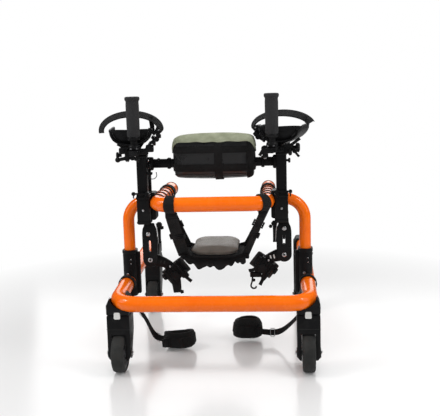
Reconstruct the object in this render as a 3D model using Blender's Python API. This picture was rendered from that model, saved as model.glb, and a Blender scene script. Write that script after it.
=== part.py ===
"""Front wheeled walker for a child: orange tube frame, four castors and body supports.

Metres, +Z up. The child stands inside the frame facing -Y. The model is drawn about the
frame's middle plane X = 0, and one empty moves it so that its bounding box is centred.
"""

import math

import bmesh
import bpy
from mathutils import Matrix, Vector

X, Y, Z = Vector((1, 0, 0)), Vector((0, 1, 0)), Vector((0, 0, 1))
SIDES = (("left", -1), ("right", 1))

# Clearances
GAP = 0.0003
RUNNING = 0.0006

# Base frame: one U-bent tube, bar across the front, rails rising slightly to the rear
BASE_RADIUS = 0.020
BASE_HALF_WIDTH = 0.244
BASE_BEND = 0.055
BAR_Y, BAR_Z = -0.300, 0.182
RAIL_END_Y = 0.285
RAIL_RISE = 0.056
TUBE_WALL = 0.0020

# Castors
CASTOR_X = 0.2395
FRONT_AXIS_Y, REAR_AXIS_Y = -0.262, 0.281
CASTOR_WIDTH = 0.058
CASTOR_FRONT, CASTOR_BACK = -0.038, 0.026
TRAIL = 0.022
WHEEL_RADIUS = 0.050
TYRE_WIDTH = 0.032
TYRE_DEPTH = 0.012
TYRE_SIDES = 24
SLOT_WIDTH = 0.0355
WHEEL_ROOM = 0.004
STEM_RADIUS, STEM_LENGTH = 0.006, 0.008
AXLE_RADIUS = 0.004
SADDLE_DEPTH = 0.012

# Telescopic legs
LEG_X, LEG_Y = 0.2395, -0.100
SLEEVE_SIZE = (0.038, 0.050)
FLANGE_REACH, FLANGE_WIDTH = 0.0275, 0.014
SLEEVE_BOTTOM, SLEEVE_TOP = 0.152, 0.280
UPRIGHT_RADIUS = 0.0155
UPRIGHT_BOTTOM = 0.216
UPRIGHT_BEND = 0.055
SHOULDER_Z = 0.402

# Upper frame
TOP_RADIUS = 0.019
TOP_HALF_WIDTH = 0.141
TOP_BEND = 0.042
CROSSBAR_Y, CROSSBAR_Z = -0.245, 0.424
TOP_RAIL_END_Y = 0.055

# Post clamps, arm posts and chest support
CLAMP_X = (0.1500, 0.1935)
CLAMP_Y = (-0.218, -0.136)
CLAMP_Z = (0.368, 0.448)
ARM_POST = Vector((0.178, -0.200, 0))
ARM_POST_SIZE, ARM_POST_BORE = 0.026, 0.021
ARM_POST_Z = (0.374, 0.548)
CHEST_POST_X, CHEST_Y = 0.172, -0.152
CHEST_POST_WIDTH, CHEST_THICKNESS = 0.016, 0.010
CHEST_POST_BOTTOM = 0.376
CHEST_BAR_Z = (0.508, 0.532)
PAD_CENTRE = Vector((0.005, -0.152, 0.533))
PAD_SIZE = Vector((0.216, 0.085, 0.108))

# Arm supports
ARM_YAW = {"left": math.radians(8), "right": math.radians(-11)}
ARM_RAIL_X, ARM_RAIL_HALF = -0.017, 0.011
ARM_RAIL_Y = (-0.070, 0.165)
ARM_RAIL_Z = (0.5505, 0.5625)
TURNTABLE_RADIUS = 0.0175
TROUGH_HALF_WIDTH, TROUGH_DEPTH = 0.056, 0.042
TROUGH_THICKNESS = 0.012
TROUGH_Y = (0.005, 0.165)
TROUGH_SHIFT = 0.010
GRIP_Y = -0.030
GRIP_Z = (0.596, 0.696)
GRIP_RADIUS = 0.0165
KNOB_Y, KNOB_RADIUS = 0.032, 0.011
STRAP_ARCH = (0.077, 0.052)
STRAP_WEB = (0.030, 0.0026)
STRAP_PLACE = 0.050

# Thigh supports
PLATE_Y, PLATE_THICKNESS = -0.188, 0.009
PLATE_WIDTH, PLATE_NECK = 0.039, 0.028
PLATE_SLOT, SLOT_RISE = (0.006, 0.030), 0.037
THIGH_PIVOT = {"left": Vector((-0.168, 0, 0.270)), "right": Vector((0.182, 0, 0.281))}
THIGH_ARM_THICKNESS, THIGH_ARM_LEAN = 0.0075, math.radians(14)
THIGH_PIN_RADIUS = 0.004
THIGH_PAD_TILT = math.radians(35)

# Saddle and ankle straps
SEAT_CENTRE = Vector((-0.008, -0.040, 0.272))
SEAT_SIZE = Vector((0.134, 0.184, 0.034))
WEB_THICKNESS = 0.0026
LOOP_ROOM = 0.0010
SADDLE_WEB, ANKLE_WEB = 0.024, 0.016
SLING_LENGTH = 0.156
SEAT_STRAP_X, SEAT_STRAP_RISE = 0.0835, 0.0055
REAR_LOOP_Y = (-0.042, -0.018)
ANKLE_LOOP_Y = (-0.1475, -0.1315)
ANKLE_ROUTE = {
    "left": ((0.236, -0.137, 0.110), (0.221, -0.118, 0.055),
             (0.196, -0.088, 0.0105), (0.156, -0.092, 0.0155)),
    "right": ((0.226, -0.135, 0.112), (0.190, -0.092, 0.056),
              (0.158, -0.062, 0.026), (0.1225, -0.052, 0.022)),
}
CUFF_WIDTH, CUFF_DEPTH, CUFF_HEIGHT, CUFF_WALL = 0.086, 0.056, 0.040, 0.008
ANKLE_CUFF = {
    "left": (Vector((-0.1085, -0.100, 0.0290)), -6, 12),
    "right": (Vector((0.0765, -0.030, 0.0305)), 10, 24),
}

# Puts the bounding box's centre over the origin
CENTRING = Vector((0.0099, -0.0117, 0))


def clear_scene():
    for item in list(bpy.data.objects):
        bpy.data.objects.remove(item, do_unlink=True)


def paint(name, colour, roughness, metallic=0.0):
    """A plain Principled material."""
    made = bpy.data.materials.new(name)
    made.use_nodes = True
    shader = made.node_tree.nodes["Principled BSDF"]
    shader.inputs["Base Color"].default_value = (*colour, 1)
    shader.inputs["Roughness"].default_value = roughness
    shader.inputs["Metallic"].default_value = metallic
    made.diffuse_color = (*colour, 1)
    return made


def solid(name, bm, material, pivot=(0, 0, 0)):
    """Turns a bmesh drawn in model space into an object whose origin is at the pivot."""
    bmesh.ops.recalc_face_normals(bm, faces=bm.faces)
    bmesh.ops.translate(bm, vec=-Vector(pivot), verts=bm.verts)
    mesh = bpy.data.meshes.new(name)
    bm.to_mesh(mesh)
    bm.free()
    mesh.materials.append(material)
    mesh.shade_smooth()
    mesh.set_sharp_from_angle(angle=math.radians(35))
    thing = bpy.data.objects.new(name, mesh)
    bpy.context.scene.collection.objects.link(thing)
    thing.parent = root
    thing.location = pivot
    return thing


def combine(thing, tool, operation="DIFFERENCE"):
    """Cuts, joins or trims a solid with another one, which is then only a guide."""
    tool.hide_render = True
    tool.display_type = "WIRE"
    step = thing.modifiers.new(tool.name, "BOOLEAN")
    step.operation = operation
    step.solver = "EXACT"
    step.object = tool


def circle(radius, sides=16, start=0.0):
    turn = 2 * math.pi / sides
    return [(radius * math.cos(start + i * turn), radius * math.sin(start + i * turn))
            for i in range(sides)]


def arc(centre, radii, start, stop, steps):
    """Points on an ellipse's arc, angles in degrees."""
    points = []
    for i in range(steps + 1):
        angle = math.radians(start + (stop - start) * i / steps)
        points.append((centre[0] + radii[0] * math.cos(angle), centre[1] + radii[1] * math.sin(angle)))
    return points


def rounded(width, height, radius, steps=3):
    """A rectangle about the origin with round corners."""
    points = []
    corners = ((1, 1, 0), (-1, 1, 90), (-1, -1, 180), (1, -1, 270))
    for right, up, start in corners:
        centre = (right * (width / 2 - radius), up * (height / 2 - radius))
        points += arc(centre, (radius, radius), start, start + 90, steps)
    return points


def ribbon(width, thickness):
    return [(width / 2, thickness / 2), (-width / 2, thickness / 2),
            (-width / 2, -thickness / 2), (width / 2, -thickness / 2)]


def bent(points, radius, steps=6):
    """A polyline with each inner corner replaced by an arc."""
    points = [Vector(p) for p in points]
    path = [points[0]]
    for before, corner, after in zip(points, points[1:], points[2:]):
        back, on = (before - corner).normalized(), (after - corner).normalized()
        half = back.angle(on) / 2
        reach = radius / math.tan(half)
        centre = corner + (back + on).normalized() * radius / math.sin(half)
        first, last = corner + back * reach - centre, corner + on * reach - centre
        for i in range(steps + 1):
            path.append(centre + first.normalized().slerp(last.normalized(), i / steps) * radius)
    path.append(points[-1])
    return path


def flowing(points, steps=4):
    """A smooth curve through a few points."""
    points = [Vector(p) for p in points]
    ends = [points[0] * 2 - points[1], *points, points[-1] * 2 - points[-2]]
    path = []
    for a, b, c, d in zip(ends, ends[1:], ends[2:], ends[3:]):
        for i in range(steps):
            t = i / steps
            path.append(0.5 * ((2 * b) + (c - a) * t + (2 * a - 5 * b + 4 * c - d) * t ** 2
                               + (3 * b - a - 3 * c + d) * t ** 3))
    path.append(points[-1])
    return path


def skin(bm, first, second):
    """Quads between two loops of the same length."""
    for i in range(len(first)):
        j = (i + 1) % len(first)
        bm.faces.new((first[i], first[j], second[j], second[i]))


def sweep(bm, path, outline, across, bore=None):
    """Moves an outline along a path; across gives the outline's first axis, at the ends if a pair."""
    start, stop = across if isinstance(across, tuple) else (across, across)
    rows = []
    for i, point in enumerate(path):
        run = (path[min(i + 1, len(path) - 1)] - path[max(i - 1, 0)]).normalized()
        wide = start.lerp(stop, i / (len(path) - 1))
        wide = (wide - run * wide.dot(run)).normalized()
        rows.append((point, wide, run.cross(wide)))
    ends = []
    for shape in [outline] + ([bore] if bore else []):
        rings = [[bm.verts.new(c + w * u + n * v) for u, v in shape] for c, w, n in rows]
        for first, second in zip(rings, rings[1:]):
            skin(bm, first, second)
        ends.append((rings[0], rings[-1]))
    for loops in zip(*ends):
        if bore:
            skin(bm, *loops)
        else:
            bm.faces.new(loops[0])
    return bm


def turn(bm, profile, centre, axis, sides=16):
    """A solid of revolution from (radius, height) points; radius 0 at the ends closes it."""
    side = axis.cross(Y if abs(axis.z) > 0.9 else Z).normalized()
    other = axis.cross(side)
    rings = []
    for radius, height in profile:
        middle = Vector(centre) + axis * height
        if radius == 0:
            rings.append([bm.verts.new(middle)])
        else:
            flat_down = circle(radius, sides, math.pi / sides)
            rings.append([bm.verts.new(middle + side * u + other * v) for u, v in flat_down])
    pairs = list(zip(rings, rings[1:]))
    if len(rings[0]) > 1:
        pairs.append((rings[-1], rings[0]))
    for first, second in pairs:
        if len(first) == len(second):
            skin(bm, first, second)
            continue
        tip, loop = (first[0], second) if len(first) == 1 else (second[0], first)
        for i in range(len(loop)):
            bm.faces.new((tip, loop[i], loop[(i + 1) % len(loop)]))
    return bm


def extrude(bm, outline, low, high, right, up):
    """A prism with its outline in the plane of right and up, between two heights on the third axis."""
    along = right.cross(up)
    loops = [[bm.verts.new(right * u + up * v + along * h) for u, v in outline] for h in (low, high)]
    skin(bm, *loops)
    for loop in loops:
        bm.faces.new(loop)
    return bm


def block(bm, low, high, edge=0.0):
    """A box between two corners, its edges rounded off by the given amount."""
    low, high = Vector(low), Vector(high)
    size = high - low
    place = Matrix.Translation((low + high) / 2) @ Matrix.Diagonal((*size, 1))
    made = bmesh.ops.create_cube(bm, size=1, matrix=place)
    if edge:
        edges = {e for v in made["verts"] for e in v.link_edges}
        bmesh.ops.bevel(bm, geom=list(edges), offset=edge, segments=2, profile=0.5, affect="EDGES")
    return bm


def span(side, low, high):
    """A range of distances from the middle plane as X values on one side, in rising order."""
    return tuple(sorted((side * low, side * high)))


def rail_height(y):
    return BAR_Z + RAIL_RISE * (y - BAR_Y)


def base_path(extra=0.0):
    end = RAIL_END_Y + extra
    front = BASE_HALF_WIDTH
    corners = [(-front, end, rail_height(end)), (-front, BAR_Y, BAR_Z),
               (front, BAR_Y, BAR_Z), (front, end, rail_height(end))]
    return bent(corners, BASE_BEND)


def top_path(extra=0.0):
    end = TOP_RAIL_END_Y + extra
    half = TOP_HALF_WIDTH
    corners = [(-half, end, CROSSBAR_Z), (-half, CROSSBAR_Y, CROSSBAR_Z),
               (half, CROSSBAR_Y, CROSSBAR_Z), (half, end, CROSSBAR_Z)]
    return bent(corners, TOP_BEND)


def make_tubes():
    """The two bent frame tubes, and the guides that shape whatever clamps onto them."""
    base = sweep(bmesh.new(), base_path(), circle(BASE_RADIUS), Z, circle(BASE_RADIUS - TUBE_WALL))
    solid("base_frame", base, ORANGE)
    top = sweep(bmesh.new(), top_path(), circle(TOP_RADIUS), Z, circle(TOP_RADIUS - TUBE_WALL))
    solid("upper_frame", top, ORANGE)
    base_room = sweep(bmesh.new(), base_path(GAP), circle(BASE_RADIUS + GAP), Z)
    top_room = sweep(bmesh.new(), top_path(GAP), circle(TOP_RADIUS + GAP), Z)
    return solid("room_for_base_tube", base_room, GUIDE), solid("room_for_top_tube", top_room, GUIDE)


def make_leg(label, side, base_room, top_room):
    """The black sleeve on the rail and the orange upright that telescopes in it."""
    x = side * LEG_X
    outline = [(x + u, LEG_Y + v) for u, v in rounded(*SLEEVE_SIZE, 0.0185)]
    sleeve = solid(f"sleeve_{label}", extrude(bmesh.new(), outline, SLEEVE_BOTTOM, SLEEVE_TOP, X, Y), BLACK)
    xs = span(side, LEG_X - FLANGE_REACH, LEG_X - 0.012)
    flange = block(bmesh.new(), (xs[0], LEG_Y - FLANGE_WIDTH / 2, SLEEVE_BOTTOM + 0.002),
                   (xs[1], LEG_Y + FLANGE_WIDTH / 2, SLEEVE_TOP - 0.006), 0.002)
    combine(sleeve, solid(f"flange_of_sleeve_{label}", flange, GUIDE), "UNION")
    bore = extrude(bmesh.new(), [(x + u, LEG_Y + v) for u, v in circle(UPRIGHT_RADIUS + RUNNING)],
                   UPRIGHT_BOTTOM - 0.002, SLEEVE_TOP + 0.01, X, Y)
    combine(sleeve, solid(f"bore_of_sleeve_{label}", bore, GUIDE))
    combine(sleeve, base_room)

    route = bent([(x, LEG_Y, UPRIGHT_BOTTOM), (x, LEG_Y, SHOULDER_Z),
                  (side * TOP_HALF_WIDTH, LEG_Y, CROSSBAR_Z + 0.003)], UPRIGHT_BEND)
    tube = sweep(bmesh.new(), route, circle(UPRIGHT_RADIUS), Y, circle(UPRIGHT_RADIUS - TUBE_WALL))
    upright = solid(f"upright_{label}", tube, ORANGE, (x, LEG_Y, UPRIGHT_BOTTOM))
    combine(upright, top_room)


def make_socket(where, label, side, axis_y, base_room):
    """The black casting under a rail that holds a castor's stem."""
    x = side * CASTOR_X
    half = CASTOR_WIDTH / 2
    bottom = rail_height(axis_y) - BASE_RADIUS - SADDLE_DEPTH
    top = bottom + 0.040
    if where == "rear":
        top = rail_height(axis_y) + BASE_RADIUS + 0.004
    low, high = (x - half, axis_y + CASTOR_FRONT, bottom), (x + half, axis_y + CASTOR_BACK, top)
    socket = solid(f"castor_socket_{where}_{label}", block(bmesh.new(), low, high, 0.003), BLACK)
    hole = turn(bmesh.new(), [(0, -0.005), (STEM_RADIUS + GAP, -0.005), (STEM_RADIUS + GAP, STEM_LENGTH),
                              (0, STEM_LENGTH)], (x, axis_y, bottom), Z)
    combine(socket, solid(f"stem_hole_{where}_{label}", hole, GUIDE))
    combine(socket, base_room)
    return bottom


def fork_outline(top):
    """Side view of a fork about its swivel axis: a flush front, and legs rounded about the axle."""
    crown = WHEEL_RADIUS + WHEEL_ROOM + 0.050
    end = arc((-TRAIL, WHEEL_RADIUS), (0.018, 0.020), 180, 360, 8)
    return [(CASTOR_FRONT, top), (CASTOR_FRONT, crown)] + end + [(CASTOR_BACK, crown), (CASTOR_BACK, top)]


def make_castor(where, label, side, axis_y, socket_bottom):
    """A swivelling fork with its axle, hub and tyre; the wheel trails towards the front."""
    x, top = side * CASTOR_X, socket_bottom - 0.0006
    pivot, axle = (x, axis_y, top), Vector((x, axis_y - TRAIL, WHEEL_RADIUS))
    name = f"{where}_{label}"
    outline = [(axis_y + u, v) for u, v in fork_outline(top)]
    half = CASTOR_WIDTH / 2
    fork = solid(f"fork_{name}", extrude(bmesh.new(), outline, x - half, x + half, Y, Z), BLACK, pivot)
    stem_top = STEM_LENGTH - 0.0005
    stem = [(0, -0.010), (STEM_RADIUS, -0.010), (STEM_RADIUS, stem_top), (0, stem_top)]
    combine(fork, solid(f"stem_{name}", turn(bmesh.new(), stem, pivot, Z), GUIDE), "UNION")
    room, wide = WHEEL_RADIUS + WHEEL_ROOM, SLOT_WIDTH / 2
    slot = [(0, -wide), (room, -wide), (room, wide), (0, wide)]
    combine(fork, solid(f"slot_{name}", turn(bmesh.new(), slot, axle, X, TYRE_SIDES), GUIDE))
    hole = AXLE_RADIUS + GAP
    bolt_hole = [(0, -0.05), (hole, -0.05), (hole, 0.05), (0, 0.05)]
    combine(fork, solid(f"axle_hole_{name}", turn(bmesh.new(), bolt_hole, axle, X, 12), GUIDE))

    head, reach = half + GAP, half + 0.0035
    bolt = [(0, -reach), (0.0065, -reach), (0.0065, -head), (AXLE_RADIUS, -head),
            (AXLE_RADIUS, head), (0.0065, head), (0.0065, reach), (0, reach)]
    solid(f"axle_{name}", turn(bmesh.new(), bolt, axle, X, 12), STEEL, axle)
    make_wheel(name, axle)


def make_wheel(name, axle):
    """A tyre whose flats touch the floor, and the hub that it is moulded on."""
    rim = WHEEL_RADIUS - TYRE_DEPTH
    wide = TYRE_WIDTH / 2
    outer = WHEEL_RADIUS / math.cos(math.pi / TYRE_SIDES)
    half_tread = [(rim, wide - 0.002), (rim + 0.008, wide),
                  (outer - 0.002, wide - 0.005), (outer, wide - 0.011)]
    tread = half_tread + [(radius, -x) for radius, x in reversed(half_tread)]
    solid(f"tyre_{name}", turn(bmesh.new(), tread, axle, X, TYRE_SIDES), RUBBER, axle)
    hole, rim = AXLE_RADIUS + GAP, rim * math.cos(math.pi / TYRE_SIDES) - GAP
    half_web = [(hole, 0.0170), (0.011, 0.0170), (0.013, 0.007), (0.030, 0.007), (rim, 0.0135)]
    web = half_web + [(radius, -x) for radius, x in reversed(half_web)]
    solid(f"hub_{name}", turn(bmesh.new(), web, axle, X), GREY, axle)


def make_brake(label, side, socket_bottom):
    """A foot pedal behind each rear fork whose long nose turns in onto the tyre."""
    pivot = Vector((side * CASTOR_X, REAR_AXIS_Y + 0.0365, socket_bottom - 0.020))
    outline = [(-0.0055, -0.004), (-0.0055, 0.0045), (0.010, 0.0055), (0.040, -0.004), (0.040, -0.009),
               (0.008, -0.005), (0.001, -0.056), (-0.0065, -0.088), (-0.0125, -0.084), (-0.0065, -0.056)]
    outline = [(pivot.y + u, pivot.z + v) for u, v in outline]
    low, high = pivot.x - 0.017, pivot.x + 0.017
    solid(f"brake_pedal_{label}", extrude(bmesh.new(), outline, low, high, Y, Z), BLACK, pivot)


def square_hole(name, x, y, wide, deep):
    low = (x - wide / 2, y - deep / 2, CLAMP_Z[0] - 0.01)
    high = (x + wide / 2, y + deep / 2, CLAMP_Z[1] + 0.01)
    return solid(name, block(bmesh.new(), low, high), GUIDE)


def make_post_clamp(label, side, top_room):
    """The block on the upper frame's bend that the arm post and the chest post slide in."""
    xs = span(side, *CLAMP_X)
    shape = block(bmesh.new(), (xs[0], CLAMP_Y[0], CLAMP_Z[0]), (xs[1], CLAMP_Y[1], CLAMP_Z[1]), 0.003)
    clamp = solid(f"post_clamp_{label}", shape, BLACK)
    room = ARM_POST_SIZE + 2 * RUNNING
    combine(clamp, square_hole(f"arm_channel_{label}", side * ARM_POST.x, ARM_POST.y, room, room))
    combine(clamp, square_hole(f"chest_channel_{label}", side * CHEST_POST_X, CHEST_Y,
                               CHEST_POST_WIDTH + 2 * RUNNING, CHEST_THICKNESS + 2 * RUNNING))
    combine(clamp, top_room)


def make_arm_post(label, side):
    x, y = side * ARM_POST.x, ARM_POST.y
    ends = [Vector((x, y, z)) for z in ARM_POST_Z]
    outer = rounded(ARM_POST_SIZE, ARM_POST_SIZE, 0.003, 2)
    inner = rounded(ARM_POST_BORE, ARM_POST_BORE, 0.0008, 2)
    solid(f"arm_post_{label}", sweep(bmesh.new(), ends, outer, X, inner), BLACK, ends[0])


def make_chest_support():
    """A flat arch of two posts and a bar, and the pad that the bar runs through."""
    outer, inner = CHEST_POST_X + CHEST_POST_WIDTH / 2, CHEST_POST_X - CHEST_POST_WIDTH / 2
    low, high = CHEST_BAR_Z
    foot = CHEST_POST_BOTTOM
    outside = [(outer, foot), (outer, high), (-outer, high), (-outer, foot)]
    outline = outside + [(-inner, foot), (-inner, low), (inner, low), (inner, foot)]
    front, back = CHEST_Y - CHEST_THICKNESS / 2, CHEST_Y + CHEST_THICKNESS / 2
    arch = extrude(bmesh.new(), outline, -back, -front, X, Z)
    solid("chest_support_frame", arch, BLACK, (0, CHEST_Y, low))

    pad = block(bmesh.new(), PAD_CENTRE - PAD_SIZE / 2, PAD_CENTRE + PAD_SIZE / 2, 0.018)
    pad = solid("chest_pad", pad, VINYL, PAD_CENTRE)
    room = 0.001
    channel = block(bmesh.new(), (-0.2, front - room, low - room), (0.2, back + room, high + room))
    combine(pad, solid("channel_in_pad", channel, GUIDE))


def arm_frame(label, side):
    """The arm's place: its swivel axis on the post, turned outwards at the rear."""
    at = Matrix.Translation((side * ARM_POST.x, ARM_POST.y, 0))
    return at @ Matrix.Rotation(ARM_YAW[label], 4, "Z")


def placed(name, bm, material, place, pivot=(0, 0, 0)):
    """A solid drawn in an arm's own space, with its origin at a point of that space."""
    bmesh.ops.transform(bm, matrix=place, verts=bm.verts)
    return solid(name, bm, material, place @ Vector(pivot))


def make_arm(label, side):
    place = arm_frame(label, side)
    low, high = ARM_RAIL_Z
    bar = block(bmesh.new(), (ARM_RAIL_X - ARM_RAIL_HALF, ARM_RAIL_Y[0], low),
                (ARM_RAIL_X + ARM_RAIL_HALF, ARM_RAIL_Y[1], high))
    rail = placed(f"arm_rail_{label}", bar, BLACK, place, (0, 0, low))
    seat, spigot = ARM_POST_Z[1] + GAP, ARM_POST_BORE / 2 - RUNNING
    turntable = [(0, seat - 0.018), (spigot, seat - 0.018), (spigot, seat),
                 (TURNTABLE_RADIUS, seat), (TURNTABLE_RADIUS, high - 0.001), (0, high - 0.001)]
    disc = placed(f"turntable_{label}", turn(bmesh.new(), turntable, (0, 0, 0), Z), GUIDE, place)
    combine(rail, disc, "UNION")
    make_trough(label, side, place)
    make_grip(label, place)
    make_arm_knob(label, side, place)


def make_trough(label, side, place):
    """The padded channel for the forearm and the arched strap over it."""
    x, z = ARM_RAIL_X + side * TROUGH_SHIFT, ARM_RAIL_Z[1] + 0.0035 + TROUGH_DEPTH
    outer = arc((x, z), (TROUGH_HALF_WIDTH, TROUGH_DEPTH), 180, 360, 12)
    inner_radii = (TROUGH_HALF_WIDTH - TROUGH_THICKNESS, TROUGH_DEPTH - TROUGH_THICKNESS)
    outline = outer + arc((x, z), inner_radii, 360, 180, 12)
    shape = extrude(bmesh.new(), outline, -TROUGH_Y[1], -TROUGH_Y[0], X, Z)
    placed(f"arm_trough_{label}", shape, VINYL, place, (x, TROUGH_Y[0], z))

    arch = arc((side * x, z), STRAP_ARCH, -4, 176, 16)
    tail = [(side * x - 0.0735, z - 0.004), (side * x - 0.0585, z - 0.008)]
    middle = TROUGH_Y[0] + STRAP_PLACE
    path = [Vector((side * u, middle, v)) for u, v in arch + tail]
    strap = sweep(bmesh.new(), path, ribbon(*STRAP_WEB), Y)
    placed(f"forearm_strap_{label}", strap, WEBBING, place, (x, middle, z))


def make_grip(label, place):
    """An upright hand grip on a stem that slides along the arm rail."""
    foot = ARM_RAIL_Z[1] + GAP
    low, high = GRIP_Z
    rim = GRIP_RADIUS + 0.0025
    stem = [(0, foot), (0.0145, foot), (0.0145, foot + 0.012), (0.008, foot + 0.016), (0.008, low)]
    handle = [(GRIP_RADIUS, low + 0.001), (GRIP_RADIUS, high - 0.010), (rim, high - 0.008),
              (rim, high - 0.002), (GRIP_RADIUS, high), (0, high)]
    shape = turn(bmesh.new(), stem + handle, (ARM_RAIL_X, GRIP_Y, 0), Z)
    placed(f"hand_grip_{label}", shape, RUBBER, place, (ARM_RAIL_X, GRIP_Y, foot))


def make_arm_knob(label, side, place):
    """The clamping knob on the outer side of the arm rail."""
    start = side * ARM_RAIL_X + ARM_RAIL_HALF + GAP
    profile = [(0, start), (0.004, start), (0.004, 0.040), (KNOB_RADIUS, 0.042),
               (KNOB_RADIUS, 0.056), (0.008, 0.060), (0, 0.060)]
    middle = (ARM_RAIL_Z[0] + ARM_RAIL_Z[1]) / 2
    shape = turn(bmesh.new(), profile, (0, KNOB_Y, middle), X * side, 12)
    placed(f"arm_knob_{label}", shape, BLACK, place, (0, KNOB_Y, middle))


def make_thigh_support(label, side):
    """A slotted plate under the clamp, a swinging arm on its lower bolt, and the thigh pad."""
    x, low = THIGH_PIVOT[label].x, THIGH_PIVOT[label].z
    front, back = PLATE_Y - PLATE_THICKNESS / 2, PLATE_Y + PLATE_THICKNESS / 2
    top, half, neck = CLAMP_Z[0] - GAP, PLATE_WIDTH / 2, PLATE_NECK / 2
    left = [(x - neck, top), (x - neck, top - 0.008), (x - half, top - 0.022)]
    right = [(x + half, top - 0.022), (x + neck, top - 0.008), (x + neck, top)]
    outline = left + arc((x, low), (half, half), 180, 360, 8) + right
    plate = solid(f"thigh_plate_{label}", extrude(bmesh.new(), outline, -back, -front, X, Z), BLACK)
    slot = [(x + u, low + SLOT_RISE + v) for u, v in rounded(*PLATE_SLOT, 0.0028, 2)]
    slot = extrude(bmesh.new(), slot, -back - 0.01, -front + 0.01, X, Z)
    combine(plate, solid(f"plate_slot_{label}", slot, GUIDE))
    hole, reach = THIGH_PIN_RADIUS + 0.0005, PLATE_THICKNESS
    pin_hole = turn(bmesh.new(), [(0, -reach), (hole, -reach), (hole, reach), (0, reach)],
                    (x, PLATE_Y, low), Y, 12)
    combine(plate, solid(f"plate_pin_hole_{label}", pin_hole, GUIDE))
    make_thigh_arm(label, side, back)


def make_thigh_arm(label, side, plate_back):
    """The arm's own pin runs forward through the plate and ends in a round head."""
    pivot = THIGH_PIVOT[label] + Y * (plate_back + GAP)
    tip = [(-0.034, 0.013), (-0.044, 0.004), (-0.044, -0.012)]
    outline = arc((0, 0), (0.0165, 0.0165), -90, 90, 8) + tip
    lean = Matrix.Rotation(-THIGH_ARM_LEAN, 3, "Y")
    shape = extrude(bmesh.new(), outline, -THIGH_ARM_THICKNESS, 0, X, Z)
    bmesh.ops.rotate(shape, cent=(0, 0, 0), matrix=lean, verts=shape.verts)
    bmesh.ops.scale(shape, vec=(side, 1, 1), verts=shape.verts)
    bmesh.ops.translate(shape, vec=pivot, verts=shape.verts)
    arm = solid(f"thigh_arm_{label}", shape, BLACK, pivot)
    reach, thin, wide = PLATE_THICKNESS + 2 * GAP, THIGH_PIN_RADIUS, 0.0075
    pin = [(0, -0.004), (thin, -0.004), (thin, reach), (wide, reach),
           (wide, reach + 0.003), (0, reach + 0.003)]
    combine(arm, solid(f"thigh_pin_{label}", turn(bmesh.new(), pin, pivot, -Y, 12), GUIDE), "UNION")
    make_thigh_pad(label, side, pivot)


def make_thigh_pad(label, side, pivot):
    """The curved guide pad clamped on the arm's inner end."""
    middle = pivot + Vector((-side * 0.064, 0.0085, -0.035))
    outer = arc((0, 0), (0.032, 0.024), 20, 160, 8)
    outline = outer + arc((0, -0.006), (0.024, 0.016), 160, 20, 8)
    shape = extrude(bmesh.new(), outline, -0.022, 0.022, X, Y)
    tilt = Matrix.Rotation(side * THIGH_PAD_TILT, 3, "Y")
    bmesh.ops.rotate(shape, cent=(0, 0, 0), matrix=tilt, verts=shape.verts)
    bmesh.ops.translate(shape, vec=middle, verts=shape.verts)
    solid(f"thigh_pad_{label}", shape, BLACK, middle)


def web_loop(stretch, tube_radius):
    """A band of webbing wrapped round a stretch of a tube's centre line."""
    inner = tube_radius + LOOP_ROOM
    return sweep(bmesh.new(), stretch, circle(inner + WEB_THICKNESS), Z, circle(inner))


def top_of_strap(stretch, tube_radius):
    """The point inside the loop's thickness, below the tube, where its strap starts."""
    middle = (stretch[0] + stretch[-1]) / 2 if len(stretch) == 2 else stretch[len(stretch) // 2]
    return middle - Z * (tube_radius + 1.5 * LOOP_ROOM)


def make_saddle():
    """The seat pad, the sling under it, and a strap from each of its corners to the frame."""
    low, high = SEAT_CENTRE - SEAT_SIZE / 2, SEAT_CENTRE + SEAT_SIZE / 2
    solid("saddle_pad", block(bmesh.new(), low, high, 0.012), TAUPE, SEAT_CENTRE)
    sling = [(-0.088, -0.006), (0.082, -0.006), (0.070, -0.030),
             (0.030, -0.040), (-0.030, -0.040), (-0.076, -0.030)]
    outline = [(SEAT_CENTRE.x + u, low.z + 0.005 + v) for u, v in sling]
    front, back = SEAT_CENTRE.y - SLING_LENGTH / 2, SEAT_CENTRE.y + SLING_LENGTH / 2
    solid("saddle_sling", extrude(bmesh.new(), outline, -back, -front, X, Z), WEBBING)
    path = top_path()
    front_loops = {"left": path[5:8], "right": path[9:12]}
    for label, side in SIDES:
        foot = Vector((SEAT_CENTRE.x + side * SEAT_STRAP_X, front + 0.014, low.z + SEAT_STRAP_RISE))
        make_saddle_strap(f"saddle_strap_front_{label}", front_loops[label], foot)
        rail = [Vector((side * TOP_HALF_WIDTH, y, CROSSBAR_Z)) for y in REAR_LOOP_Y]
        foot = Vector((SEAT_CENTRE.x + side * SEAT_STRAP_X, back - 0.030, low.z + SEAT_STRAP_RISE))
        make_saddle_strap(f"saddle_strap_rear_{label}", rail, foot)


def make_saddle_strap(name, stretch, foot):
    """Webbing looped round a frame tube and run down to the sling's edge."""
    top = top_of_strap(stretch, TOP_RADIUS)
    below = top - Z * 0.010
    slack = (below + foot) / 2 - Z * 0.003
    path = [top] + flowing([below, slack, foot])
    strap = solid(name, sweep(bmesh.new(), path, ribbon(SADDLE_WEB, WEB_THICKNESS), X), WEBBING, top)
    combine(strap, solid(f"loop_{name}", web_loop(stretch, TOP_RADIUS), GUIDE), "UNION")


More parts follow.
